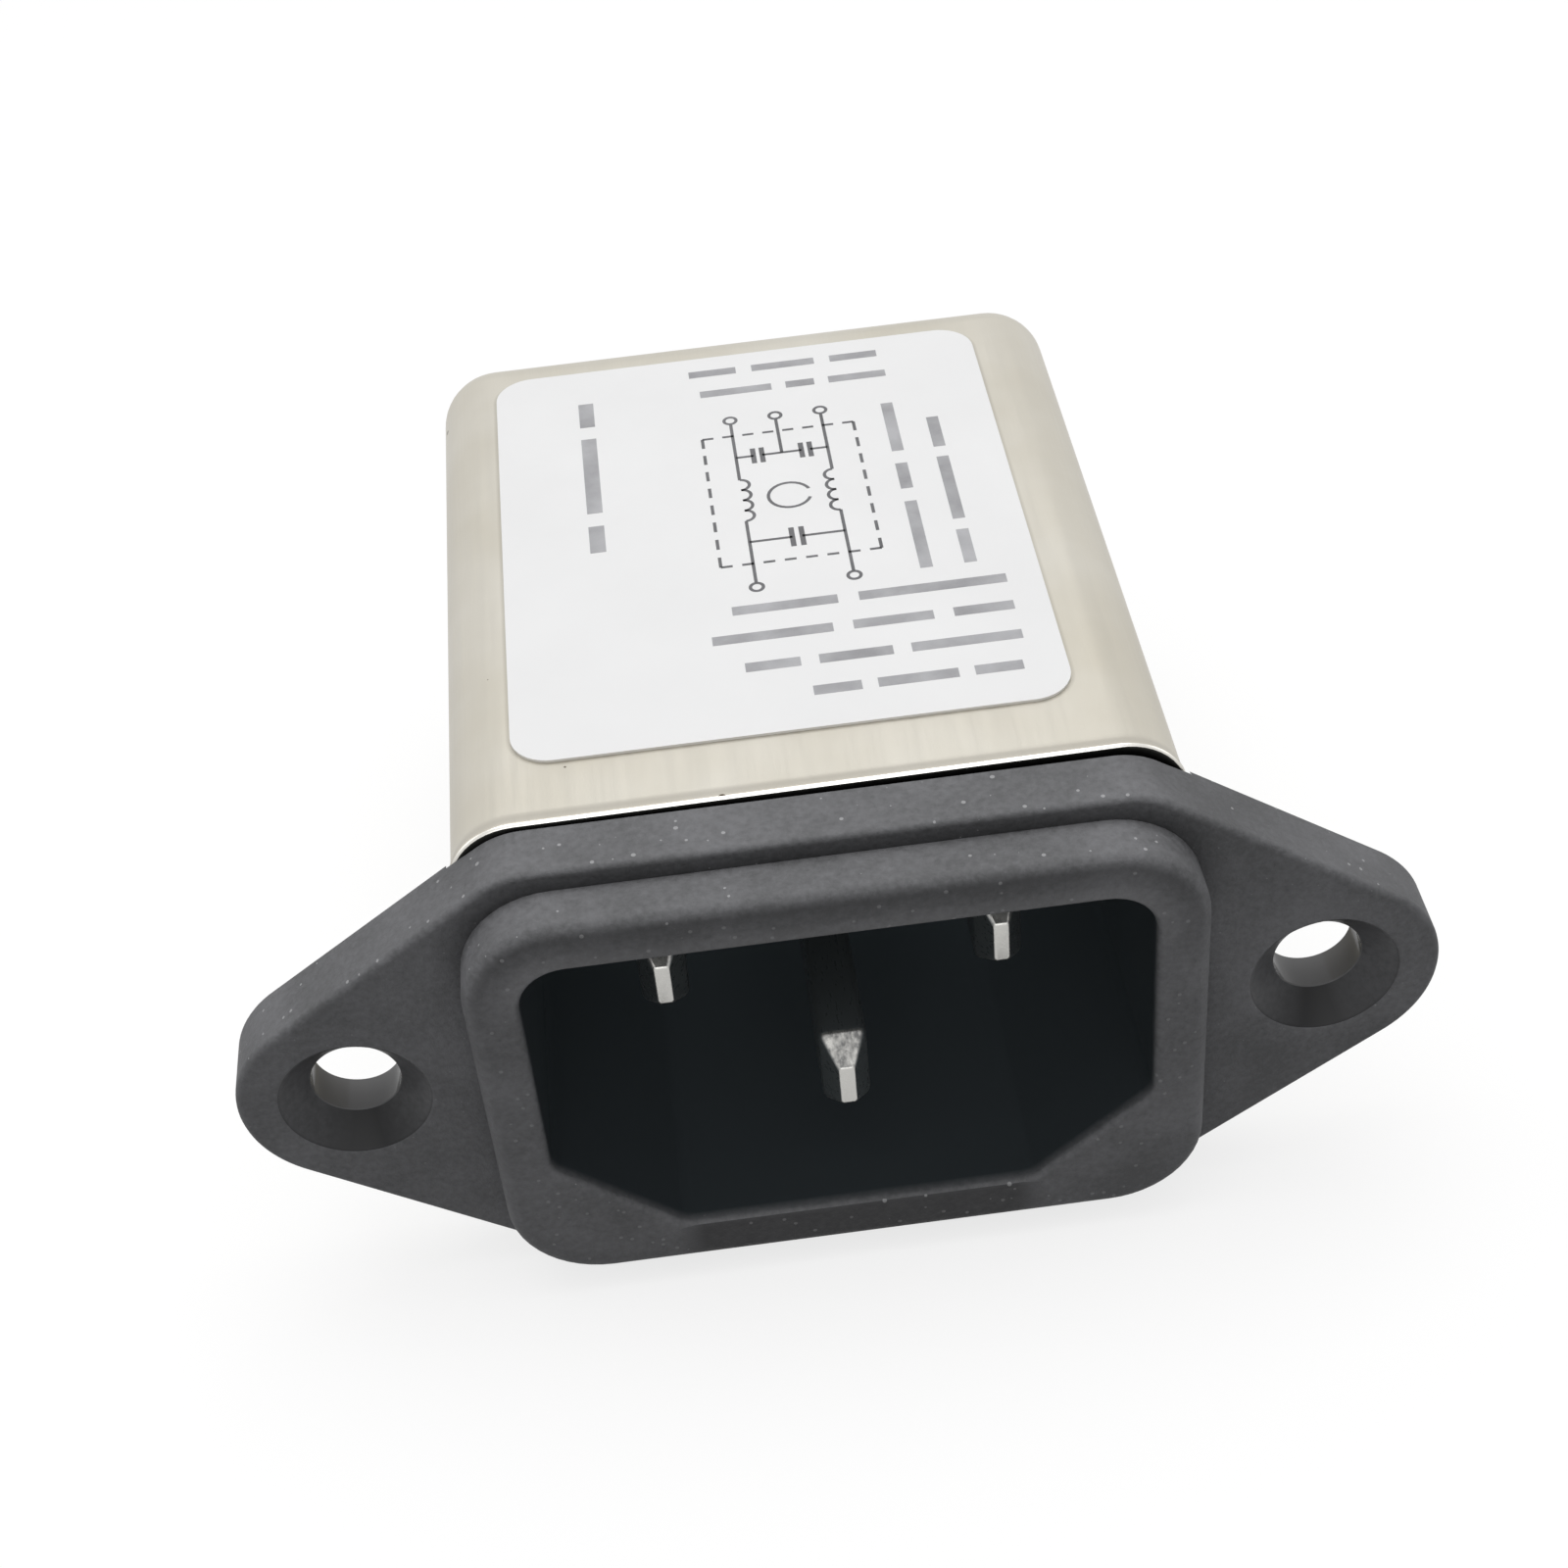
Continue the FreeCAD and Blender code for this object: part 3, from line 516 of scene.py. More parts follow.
def collar_painted_shade_and_highlight(tree, parts, facing, look):
    """Masks of the painted shade in the crevice above the collar and under its rim, and of the painted
    highlight along its inner edge.
    """
    corner = look.collar_corner
    core = {"X": (0.0, (look.collar_width / 2 - corner) / MM),
            "Z": (0.0, (look.collar_height / 2 - corner) / MM)}
    outside = math_node(tree, "SUBTRACT", from_core(tree, parts, core), corner / MM)
    seen = times(tree, ramp(tree, facing["Y"], -0.75, -0.98), ramp(tree, parts["Z"], 4.0, 9.0))
    # Painted shade in the crevice where the collar meets the flange, and under the collar's rim
    crevice = ramp(tree, outside, 1.3, 0.0, high=0.75)
    under = ramp(tree, outside, -1.5, -0.6, high=0.42)
    # Painted highlight on the collar's front near the socket's mouth
    pale = ramp(tree, outside, -1.3, -2.1, high=0.11)
    behind = math_node(tree, "GREATER_THAN", outside, -0.1)
    dark = remap(tree, behind, under, crevice)
    return times(tree, seen, dark), times(tree, seen, pale)


def moulding_material():
    """Black moulding: a spark-eroded grain with a little dust outside, smooth in the socket and the holes."""
    look = bpy.context.scene.inlet_settings
    made, tree, shader, place = start_material("black moulding", {"IOR": 1.5, "Specular IOR Level": 0.2})
    parts, facing = split(tree, place), normal_parts(tree)
    cones, bores, socket, rubbed, depth = moulded_places(tree, parts, look)
    crevice, pale = collar_painted_shade_and_highlight(tree, parts, facing, look)
    smooth = math_node(tree, "MAXIMUM", cones, socket)
    grained = math_node(tree, "SUBTRACT", 1.0, smooth)
    grain = effect(tree, "fine grain", place, {"Scale": 3.4, "Patch Scale": 0.16})
    specks = effect(tree, "scattered specks", place, {"Scale": 1.6, "Size": 0.16, "Share": 0.9})

    # Mottled plastic, darker in a strip under the socket, with painted shade in the crevice above the collar
    # and under its rim
    tone = remap(tree, grain["Height"], -0.5, 0.5, 0.25, 0.75)
    mottle = math_node(tree, "ADD", grain["Shade"], tone, True)
    outside = mix_colour(tree, mottle, look.dark, look.light)
    worn = mix_colour(tree, rubbed, outside, look.rubbed)
    shaded = mix_colour(tree, crevice, worn, look.smooth)

    # Dust, most of it on faces that look up, with the painted highlight on the collar's inner edge mixed in
    # as dust
    settled = ramp(tree, facing["Z"], 0.6, 0.98, high=0.05)
    shown = ramp(tree, facing["Z"], 0.0, 0.7, 0.15, 0.4)
    loose = times(tree, times(tree, specks["Mask"], shown), grained)
    dusty = math_node(tree, "ADD", loose, math_node(tree, "ADD", settled, pale), True)
    plain = mix_colour(tree, dusty, shaded, look.dust)

    # Polished countersinks with painted shade, darkest where they face up or down and paler at their sides,
    # glossy holes, and the satin socket, painted lighter towards its floor
    sideways = math_node(tree, "ABSOLUTE", facing["X"])
    polished = times(tree, cones, ramp(tree, sideways, 0.15, 0.65, 1.0, 0.35))
    with_cones = mix_colour(tree, polished, plain, look.smooth)
    with_bores = mix_colour(tree, bores, with_cones, look.bore)
    # Painted light: the socket grows lighter towards its floor, against the shade deep inside it
    satin = mix_colour(tree, depth, look.socket, look.socket_painted_light_deep)
    tree.links.new(mix_colour(tree, socket, with_bores, satin), shader["Base Color"])
    rough = remap(tree, smooth, spread(tree, grain["Height"], 0.52, 0.74), 0.36)
    tree.links.new(remap(tree, bores, rough, 0.1), shader["Roughness"])
    bump(tree, shader, times(tree, grain["Height"], grained), 0.8, 0.07)
    return made


def mouth_painted_light(tree, parts, look):
    """Masks of the painted shade on the sheet just behind the can's lip, of the lip's painted highlight,
    duller at its ends, and of the painted shade on the lip's front face, where the gap meets the flange.
    """
    lean = times(tree, parts["X"], look.lean / CAN_HIGH.x)
    level = math_node(tree, "SUBTRACT", parts["Y"], lean)
    mouth = (CAN_LOW.y + SLOT) / MM
    # Painted shade on the sheet just behind the lip
    hollow = ramp(tree, level, mouth + 0.85, mouth + 0.5, high=0.16)
    near = math_node(tree, "LESS_THAN", level, mouth + 0.13)
    turned = math_node(tree, "GREATER_THAN", normal_parts(tree)["Y"], -0.9)
    lip = times(tree, near, turned)
    across = math_node(tree, "ABSOLUTE", parts["X"])
    # Painted highlight along the lip, duller towards its ends
    bright = times(tree, lip, ramp(tree, across, 10.0, 14.5, 1.0, 0.4))
    # Painted shade: the dark of the gap at the flange, painted on the lip's front face
    return hollow, bright, math_node(tree, "SUBTRACT", near, lip)


def label_painted_shadow(tree, parts):
    """Mask of a painted shadow in a hairline round the label."""
    corner = bpy.context.scene.label_settings.corner_radius / MM
    middle = (LABEL_LOW + LABEL_HIGH) / 2 / MM
    half = (LABEL_HIGH - LABEL_LOW) / 2 / MM
    core = {"X": (middle.x, half.x - corner), "Y": (middle.y, half.y - corner)}
    above = math_node(tree, "SUBTRACT", LABEL_LOW.z / MM, parts["Z"])
    return ramp(tree, from_core(tree, parts, core, Z=above), corner + 0.2, corner + 0.08, high=0.20)


def can_material():
    """Satin nickel on drawn sheet, with marks along the draw and a few dark specks."""
    look = bpy.context.scene.can_settings
    made, tree, shader, place = start_material("satin nickel", {"Metallic": 1.0})
    parts = split(tree, place)
    marks = effect(tree, "drawn marks", place, {"Across": 3.0, "Along": 0.12})
    grain = effect(tree, "fine grain", place, {"Scale": 9.0, "Patch Scale": 0.09})
    specks = effect(tree, "scattered specks", place, {"Scale": 0.45, "Size": 0.07, "Share": 1.0})
    hollow, lip, face = mouth_painted_light(tree, parts, look)
    # Painted shade behind the lip and a painted shadow line round the label, with the specks
    lines = math_node(tree, "ADD", hollow, label_painted_shadow(tree, parts))
    speckled_and_painted_shade = math_node(tree, "ADD", lines, specks["Mask"], True)
    sheet = mix_colour(tree, grain["Shade"], look.warm, look.cool)
    marked = mix_colour(tree, speckled_and_painted_shade, sheet, look.specks_and_painted_shade_tone)
    # Painted highlight on the lip, then painted shade on its front face
    rubbed = mix_colour(tree, lip, marked, look.cut)
    tree.links.new(mix_colour(tree, face, rubbed, look.sheared), shader["Base Color"])
    satin = spread(tree, marks["Height"], 0.36, 0.48)
    tree.links.new(remap(tree, lip, satin, 0.25), shader["Roughness"])
    bump(tree, shader, math_node(tree, "ADD", marks["Height"], grain["Height"]), 0.25, 0.006)
    return made


def tip_wear_and_painted_light(tree):
    """Masks of a pin's forward faces, kept bright partly by the plug's contacts and partly as a painted
    highlight, and of its flat end alone, painted brightest as a highlight.
    """
    facing = normal_parts(tree)
    ahead = ramp(tree, facing["Y"], -0.2, -0.45)
    upright = ramp(tree, math_node(tree, "ABSOLUTE", facing["X"]), 0.75, 0.45)
    return times(tree, ahead, upright), ramp(tree, facing["Y"], -0.7, -0.95)


def plated_material(name, bright, dull, contrast, rough, flank=None):
    """Plating on pins and tabs, with fine marks along the blade and rubbed patches; flanks may be painted
    dark as shade.
    """
    made, tree, shader, place = start_material(name, {"Metallic": 1.0})
    marks = effect(tree, "drawn marks", place, {"Across": 6.0, "Along": 1.2})
    grain = effect(tree, "fine grain", place, {"Scale": 9.0, "Patch Scale": 1.6})
    rubbed = spread(tree, marks["Height"], -contrast, contrast)
    sheen = mix_colour(tree, math_node(tree, "ADD", grain["Shade"], rubbed, True), bright, dull)
    if flank is not None:
        # Painted light on pins: bright forward faces and flat end, dark dull flanks
        tip, end = tip_wear_and_painted_light(tree)
        polished = mix_colour(tree, end, sheen, bright)
        sheen = mix_colour(tree, tip, flank, polished)
        tree.links.new(remap(tree, tip, 0.35, 1.0), shader["Metallic"])
    tree.links.new(sheen, shader["Base Color"])
    tree.links.new(spread(tree, marks["Height"], rough, rough + 0.14), shader["Roughness"])
    bump(tree, shader, marks["Height"], 0.15, 0.006)
    return made


def film_material():
    """Matt white label film whose cut edge is darker."""
    look = bpy.context.scene.label_settings
    made, tree, shader, place = start_material("label film", {"IOR": 1.45})
    grain = effect(tree, "fine grain", place, {"Scale": 12.0, "Patch Scale": 0.15})
    flat = remap(tree, normal_parts(tree)["Z"], 0.0, 1.0, 0.5, 0.8)
    darker = [0.965 * part for part in look.film]
    film = mix_colour(tree, grain["Shade"], darker, look.film)
    tree.links.new(mix_colour(tree, flat, look.film_edge, film), shader["Base Color"])
    tree.links.new(spread(tree, grain["Height"], 0.42, 0.58), shader["Roughness"])
    bump(tree, shader, grain["Height"], 0.15, 0.004)
    return made


def ink_material(name, tone):
    """Grey print, slightly worn."""
    made, tree, shader, place = start_material(name, {"IOR": 1.45})
    grain = effect(tree, "fine grain", place, {"Scale": 9.0, "Patch Scale": 0.5})
    worn = [min(1.0, 1.5 * part) for part in tone]
    tree.links.new(mix_colour(tree, grain["Shade"], tone, worn), shader["Base Color"])
    tree.links.new(spread(tree, grain["Height"], 0.5, 0.7), shader["Roughness"])
    return made


def plain_material(name, first, second, low, high, metallic=0.0, scale=6.0, depth=0.01):
    """Finish of two close tones with a fine grain, its roughness from low to high."""
    made, tree, shader, place = start_material(name, {"Metallic": metallic})
    grain = effect(tree, "fine grain", place, {"Scale": scale, "Patch Scale": 0.4})
    tree.links.new(mix_colour(tree, grain["Shade"], first, second), shader["Base Color"])
    tree.links.new(spread(tree, grain["Height"], low, high), shader["Roughness"])
    bump(tree, shader, grain["Height"], 0.3, depth)
    return made


# Moulded inlet

def flange_rounds(look):
    """Centres and radii of the circles that the flange's outline runs round, as (x, z, radius)."""
    ear_x = INLET_HIGH.x - look.ear_radius
    half_height = INLET_HIGH.z
    across = ear_x - look.flange_flat
    slope = math.atan2(half_height, across) - math.asin(look.ear_radius / math.hypot(across, half_height))
    corner_x = look.flange_flat - look.flange_corner * math.tan(slope / 2)
    corner_z = half_height - look.flange_corner
    rounds = [(side * ear_x, 0.0, look.ear_radius) for side in SIDES]
    rounds += [(side * corner_x, up * corner_z, look.flange_corner) for side in SIDES for up in SIDES]
    return rounds


def flange_plate(look):
    """Plate whose outline runs round the ears and the corners, with a rounded front edge."""
    bm = bmesh.new()
    front, rear = -look.flange_thickness, 0.0
    rear_edge = 0.15 * MM
    for x, z, radius in flange_rounds(look):
        for y in (front, rear):
            place = Matrix.Translation((x, y, z)) @ Matrix.Rotation(math.pi / 2, 4, "X")
            bmesh.ops.create_circle(bm, segments=96, radius=radius, matrix=place)
    hull = bmesh.ops.convex_hull(bm, input=bm.verts[:])
    spare = once(of_kind(hull["geom_interior"] + hull["geom_unused"], BMVert))
    bmesh.ops.delete(bm, geom=spare, context="VERTS")
    bmesh.ops.dissolve_limit(bm, angle_limit=math.radians(0.3), verts=bm.verts, edges=bm.edges)
    tidy(bm)
    round_off(bm, edges_at_y(bm, front), look.flange_edge, 5)
    round_off(bm, edges_at_y(bm, rear), rear_edge, 2)
    return to_object("inlet_flange", bm)


def screw_cutter(look):
    """Body that cuts both countersunk holes, their rims slightly broken."""
    bm = bmesh.new()
    front = -look.flange_thickness
    radius = look.countersink_radius
    cone_end = front + (radius - look.hole_radius)
    soft = 0.12 * MM
    beyond = 1 * MM
    profile = [(0.0, front - beyond), (radius + 2.2 * soft, front - beyond),
               (radius + 1.3 * soft, front - 0.001 * MM), (radius + 0.35 * soft, front + 0.2 * soft),
               (radius - 0.7 * soft, front + 0.9 * soft), (look.hole_radius, cone_end),
               (look.hole_radius, beyond), (0.0, beyond)]
    for x, z, _ in flange_rounds(look)[:2]:
        add_turned(bm, profile, (x, z), 72)
    tidy(bm)
    return to_object("screw_cutter", bm)


def block_cutter(name, half_width, half_height, corner, low_y, high_y):
    """Block with rounded corners that cuts a seat or an opening."""
    bm = bmesh.new()
    add_block(bm, (-half_width, low_y, -half_height), (half_width, high_y, half_height), corner, 8)
    tidy(bm)
    return to_object(name, bm)


def flange(look, can):
    """Flange with its countersunk holes, the opening for the collar and the seat for the can's lip."""
    made = flange_plate(look)
    cut_with(made, screw_cutter(look))
    overlap, reach = 0.8 * MM, 5 * MM
    cut_with(made, block_cutter("opening_cutter", look.collar_width / 2 - overlap,
                                look.collar_height / 2 - overlap, look.collar_corner - overlap,
                                -reach, reach))
    room, beyond = 0.1 * MM, 2 * MM
    cut_with(made, block_cutter("seat_cutter", CAN_HIGH.x + room, CAN_HIGH.z + room,
                                can.corner_radius + LIP + room, CAN_LOW.y, beyond))
    bm = bmesh.new()
    bm.from_mesh(made.data)
    steep = math.radians(60)
    facing = [edge for edge in edges_at_y(bm, CAN_LOW.y)
              if edge.is_manifold and edge.is_convex and edge.calc_face_angle() > steep]
    round_off(bm, facing, look.seat_edge, 3)
    bm.to_mesh(made.data)
    bm.free()
    return made


def socket_outline(look, grow):
    """Six corners of the socket's section, grown by an offset, as (x, z)."""
    half_width = look.well_width / 2
    half_height = look.well_height / 2
    slant = math.hypot(look.key_width, look.key_height)
    across, down = look.key_height / slant, -look.key_width / slant
    side_z = -half_height + look.key_height + grow * (1 - across) / down
    floor_x = half_width - look.key_width + grow * (1 + down) / across
    side_x = half_width + grow
    top_z = half_height + grow
    return [(-side_x, top_z), (-side_x, side_z), (-floor_x, -top_z), (floor_x, -top_z), (side_x, side_z),
            (side_x, top_z)]


def collar_body(bm, look):
    """Collar with a rounded rim, open in front, and the narrower body behind it."""
    rim, seat = INLET_LOW.y, CAN_LOW.y
    half_width = look.collar_width / 2
    half_height = look.collar_height / 2
    step = 1.1 * MM
    base = 2 * MM
    add_block(bm, (-half_width, rim, -half_height), (half_width, seat, half_height),
              look.collar_corner, 12)
    round_off(bm, edges_at_y(bm, rim), look.rim_radius, 8)
    front = [face for face in bm.faces
             if face.normal.y < -FLAT and abs(face.calc_center_median().y - rim) < NEAR]
    rear = [face for face in bm.faces if abs(face.calc_center_median().y - seat) < NEAR]
    bmesh.ops.delete(bm, geom=front, context="FACES_ONLY")
    bmesh.ops.inset_region(bm, faces=rear, thickness=step, use_even_offset=True)
    back = bmesh.ops.extrude_discrete_faces(bm, faces=rear)["faces"]
    move_y(bm, back[0].verts, rim + look.well_depth + base - seat)


def socket_mouth(bm, look):
    """Flat face in the shape of the socket's mouth, its corners rounded."""
    radius = look.mouth_radius
    corners = [bm.verts.new((x, INLET_LOW.y, z)) for x, z in socket_outline(look, radius)]
    bm.faces.new(corners)
    key_turn = math.atan2(look.key_width, look.key_height)
    key_radius = look.key_corner + radius
    reaches = (look.well_corner + radius, key_radius * math.tan(key_turn / 2),
               key_radius * math.tan((math.pi / 2 - key_turn) / 2))
    for pair, reach, segments in zip(((0, 5), (1, 4), (2, 3)), reaches, (10, 6, 6)):
        round_off(bm, [corners[index] for index in pair], reach, segments, "VERTICES")
    return next(face for face in bm.faces if all(edge.is_boundary for edge in face.edges))


def collar_and_socket(look):
    """Collar with the keyed socket sunk into it, and the body behind."""
    bm = bmesh.new()
    collar_body(bm, look)
    collar_loop = [edge for edge in bm.edges if edge.is_boundary]
    face = socket_mouth(bm, look)
    radius = look.mouth_radius
    steps = 6
    for step in range(steps):
        start, end = (math.pi / 2 * index / steps for index in (step, step + 1))
        bmesh.ops.inset_region(bm, faces=[face], thickness=radius * (math.sin(end) - math.sin(start)),
                               use_boundary=True, use_even_offset=True)
        move_y(bm, face.verts, radius * (math.cos(start) - math.cos(end)))
    floor = bmesh.ops.extrude_discrete_faces(bm, faces=[face])["faces"]
    move_y(bm, floor[0].verts, look.well_depth - radius)
    known = set(collar_loop)
    mouth_loop = [edge for edge in bm.edges if edge.is_boundary and edge not in known]
    bmesh.ops.bridge_loops(bm, edges=collar_loop + mouth_loop)
    tidy(bm)
    return bm


class MAINSFILTER_OT_inlet(Operator):
    """Build the moulded inlet: flange, collar and socket"""

    bl_idname = "mains_filter.inlet"
    bl_label = "Moulded inlet"

    def execute(self, context):
        look = context.scene.inlet_settings
        plate = flange(look, context.scene.can_settings)
        bm = collar_and_socket(look)
        bm.from_mesh(plate.data)
        bpy.data.objects.remove(plate)
        body = to_object("inlet_body", bm)
        finish_piece(body, moulding_material(), ["inlet_moulding"], 32.0)
        return {"FINISHED"}


# Pins in the socket

def pin_mesh(look, node):
    """Flat pin of a rounded section with a tapered tip."""
    bm = bmesh.new()
    low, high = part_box(node)
    tip_y = low.y + look.tip_length
    hidden = 4 * MM
    add_block(bm, (low.x, tip_y, low.z), (high.x, high.y - hidden, high.z), look.pin_corner, 5)
    bm.normal_update()
    front = [face for face in bm.faces if face.normal.y < -0.9]
    tip = bmesh.ops.extrude_discrete_faces(bm, faces=front)["faces"][0]
    middle = tip.calc_center_median()
    narrow = Matrix.Diagonal((look.tip_thickness / (high.x - low.x), 1.0,
                              look.tip_width / (high.z - low.z), 1.0))
    bmesh.ops.transform(bm, verts=tip.verts, matrix=narrow, space=Matrix.Translation(-middle))
    move_y(bm, tip.verts, -look.tip_length)
    round_off(bm, edges_at_y(bm, low.y), 0.5 * look.edge, 2)
    round_off(bm, edges_at_y(bm, tip_y), look.edge, 3)
    tidy(bm)
    return bm


class MAINSFILTER_OT_pins(Operator):
    """Build the three flat pins in the socket"""

    bl_idname = "mains_filter.pins"
    bl_label = "Inlet pins"

    def execute(self, context):
        look = context.scene.terminal_settings
        material = plated_material("nickel plating", look.nickel, look.worn, 0.45, 0.24, look.flank)
        for node in ("line_pin", "neutral_pin", "earth_pin"):
            pin = to_object(node + "_blade", pin_mesh(look, node))
            finish_piece(pin, material, [node])
        return {"FINISHED"}


# Drawn can

def side_faces(bm, side):
    """Flat faces of one of the can's narrow sides."""
    return [face for face in bm.faces if face.normal.x * side > FLAT]


def press_detent(bm, look, side, half_width, middle_y):
    """Presses a bar into one of the can's narrow sides."""
    slope = 0.55 * MM
    soft = 0.18 * MM
    cuts = (((0, 1, 0), (0, middle_y, 0), 1.1 * MM), ((0, 0, 1), (0, 0, 0), 3.5 * MM))
    for axis, middle, half in cuts:
        for way in SIDES:
            geom = once(item for face in side_faces(bm, side) for item in (face, *face.edges, *face.verts))
            spot = Vector(middle) + way * half * Vector(axis)
            bmesh.ops.bisect_plane(bm, geom=geom, plane_co=spot, plane_no=axis)
    target = Vector((side * half_width, middle_y, 0))
    patch = min(side_faces(bm, side), key=lambda face: (face.calc_center_median() - target).length)
    bmesh.ops.inset_region(bm, faces=[patch], thickness=slope, use_even_offset=True)
    bmesh.ops.translate(bm, verts=patch.verts, vec=(-side * look.detent_depth, 0, 0))
    slopes = once(face for edge in patch.edges for face in edge.link_faces)
    round_off(bm, once(edge for face in slopes for edge in face.edges), soft, 3)


def lip_stations(look, mouth):
    """Run of the sheet round the lip and back inside, as the depth in millimetres and the growth outwards."""
    flare, wall = look.lip_flare, look.wall
    soft = 0.16 * MM
    return [(0.60, 0.2 * flare), (0.46, 0.55 * flare), (0.34, 0.85 * flare), (0.22, flare), (0.16, flare),
            (0.10, flare - 0.07 * soft), (0.047, flare - 0.29 * soft), (0.012, flare - 0.62 * soft),
            (0.0, flare - soft), (0.0, -0.8 * wall), (0.03, -0.94 * wall), (0.1, -wall),
            ((CAN_HIGH.y - mouth - 2 * wall) / MM, -wall)]


def can_mesh(look):
    """Closed can with rounded edges, a flared lip, an inner wall and a pressed bar on each narrow side."""
    bm = bmesh.new()
    half_width = CAN_HIGH.x - LIP
    half_height = CAN_HIGH.z - LIP
    mouth = CAN_LOW.y + SLOT
    start = mouth + 0.75 * MM
    detent_y = CAN_LOW.y + 1.9 * MM
    add_block(bm, (-half_width, start, -half_height), (half_width, CAN_HIGH.y, half_height),
              look.corner_radius, 12)
    round_off(bm, edges_at_y(bm, CAN_HIGH.y), look.rear_radius, 10)
    for side in SIDES:
        press_detent(bm, look, side, half_width, detent_y)
    front = [face for face in bm.faces if face.normal.y < -FLAT]
    bmesh.ops.delete(bm, geom=front, context="FACES_ONLY")
    loop = [edge for edge in bm.edges if edge.is_boundary]
    grown = 0.0
    for depth, grow in lip_stations(look, mouth):
        made = bmesh.ops.extrude_edge_only(bm, edges=loop)["geom"]
        verts, loop = of_kind(made, BMVert), of_kind(made, BMEdge)
        stretch = Matrix.Diagonal(((half_width + grow) / (half_width + grown), 1.0,
                                   (half_height + grow) / (half_height + grown), 1.0))
        bmesh.ops.transform(bm, verts=verts, matrix=stretch)
        move_y(bm, verts, mouth + depth * MM - verts[0].co.y)
        grown = grow
    for vert in bm.verts:
        rise = max(0.0, start - vert.co.y) / (start - mouth)
        vert.co.y += look.lean * rise * vert.co.x / CAN_HIGH.x
    bmesh.ops.edgeloop_fill(bm, edges=loop)
    tidy(bm)
    return bm


class MAINSFILTER_OT_can(Operator):
    """Build the drawn can behind the flange"""

    bl_idname = "mains_filter.can"
    bl_label = "Drawn can"

    def execute(self, context):
        can = to_object("can_shell", can_mesh(context.scene.can_settings))
        finish_piece(can, can_material(), ["shield_can"])
        return {"FINISHED"}


# Label and its print

def label_mesh(look):
    """Thin film with round corners."""
    bm = bmesh.new()
    upright = edges_along(add_box(bm, LABEL_LOW, LABEL_HIGH), 2)
    round_off(bm, upright, look.corner_radius, 10)
    tidy(bm)
    return bm


def stroke(bm, first, last, width):
    """Printed line between two places, given in millimetres from the label's front left corner."""
    start, end = Vector(first) * MM, Vector(last) * MM
    run = end - start
    middle = (start + end) / 2
    place = Matrix.Translation((LABEL_LOW.x + middle.x, LABEL_LOW.y + middle.y, LABEL_HIGH.z))
    turn = Matrix.Rotation(math.atan2(run.y, run.x), 4, "Z")
    size = Matrix.Diagonal((run.length, width, PRINT, 1.0))
    bmesh.ops.create_cube(bm, size=1.0, matrix=place @ turn @ size)


def arc(bm, centre, radius, start, sweep, width):
    """Printed arc about a place on the label, its angles in degrees."""
    middle = Vector((LABEL_LOW.x + centre[0] * MM, LABEL_LOW.y + centre[1] * MM, LABEL_HIGH.z - PRINT / 2))
    turn = Matrix.Rotation(math.radians(start), 3, "Z")
    inner, outer = radius * MM - width / 2, radius * MM + width / 2
    verts = [bm.verts.new(middle + turn @ Vector((reach, 0, rise)))
             for reach, rise in ((inner, 0), (outer, 0), (outer, PRINT), (inner, PRINT))]
    face = bm.faces.new(verts)
    fewest, degrees_to_step = 6, 12
    steps = max(fewest, int(abs(sweep) / degrees_to_step))
    around = {"cent": middle, "axis": (0, 0, 1), "steps": steps}
    if abs(sweep) >= 360:
        edges = list(face.edges)
        bmesh.ops.delete(bm, geom=[face], context="FACES_ONLY")
        bmesh.ops.spin(bm, geom=verts + edges, angle=math.tau, use_merge=True, **around)
    else:
        ring = bmesh.ops.spin(bm, geom=[face], angle=math.radians(sweep), **around)
        bmesh.ops.recalc_face_normals(bm, faces=of_kind(ring["geom_last"], BMFace))


def bar(bm, first, last, height, shares):
    """Row of plain printed blocks between two places; shares are those of the blocks and the gaps."""
    start, end = Vector(first), Vector(last)
    total = sum(shares)
    done = 0.0
    for index, part in enumerate(shares):
        if index % 2 == 0:
            stroke(bm, start.lerp(end, done / total), start.lerp(end, (done + part) / total), height * MM)
        done += part


def symbol_mesh(look):
    """Generic circuit symbol of a mains filter, its places in millimetres on the label."""
    bm = bmesh.new()
    thin, plate = look.stroke, 1.6 * look.stroke
    dot, turn = 0.28, 0.4

    # Dashed frame
    left, right, low, high = 9.4, 16.4, 11.4, 21.4
    corners = ((left, low), (right, low), (right, high), (left, high))
    dashes = [1.0 if index % 2 == 0 else 0.8 for index in range(15)]
    for first, last in zip(corners, corners[1:] + corners[:1]):
        bar(bm, first, last, thin / MM, dashes)

    # The two lines with their windings and terminals
    line, neutral, earth = 10.8, 15.0, 12.9
    for x, side in ((line, 1), (neutral, -1)):
        stroke(bm, (x, 10.0), (x, 14.6), thin)
        stroke(bm, (x, 17.8), (x, 22.4), thin)
        for index in range(4):
            arc(bm, (x, 15.0 + 2 * turn * index), turn, -90, 180 * side, thin)
        for y in (9.7, 22.7):
            arc(bm, (x, y), dot, 0, 360, thin)

    # Capacitor between the lines, then the two to earth
    for x0, x1 in ((line, earth - 0.22), (earth + 0.22, neutral)):
        stroke(bm, (x0, 13.0), (x1, 13.0), thin)
    for x in (earth - 0.22, earth + 0.22):
        stroke(bm, (x, 12.3), (x, 13.7), plate)
    for x0, x1 in ((line, 11.6), (12.0, 13.8), (14.2, neutral)):
        stroke(bm, (x0, 19.6), (x1, 19.6), thin)
    for x in (11.6, 12.0, 13.8, 14.2):
        stroke(bm, (x, 19.0), (x, 20.2), plate)

    # Earth terminal and the core of the windings
    stroke(bm, (earth, 19.6), (earth, 22.4), thin)
    arc(bm, (earth, 22.7), dot, 0, 360, thin)
    arc(bm, (earth, 16.2), 0.95, 20, 320, thin)
    return bm


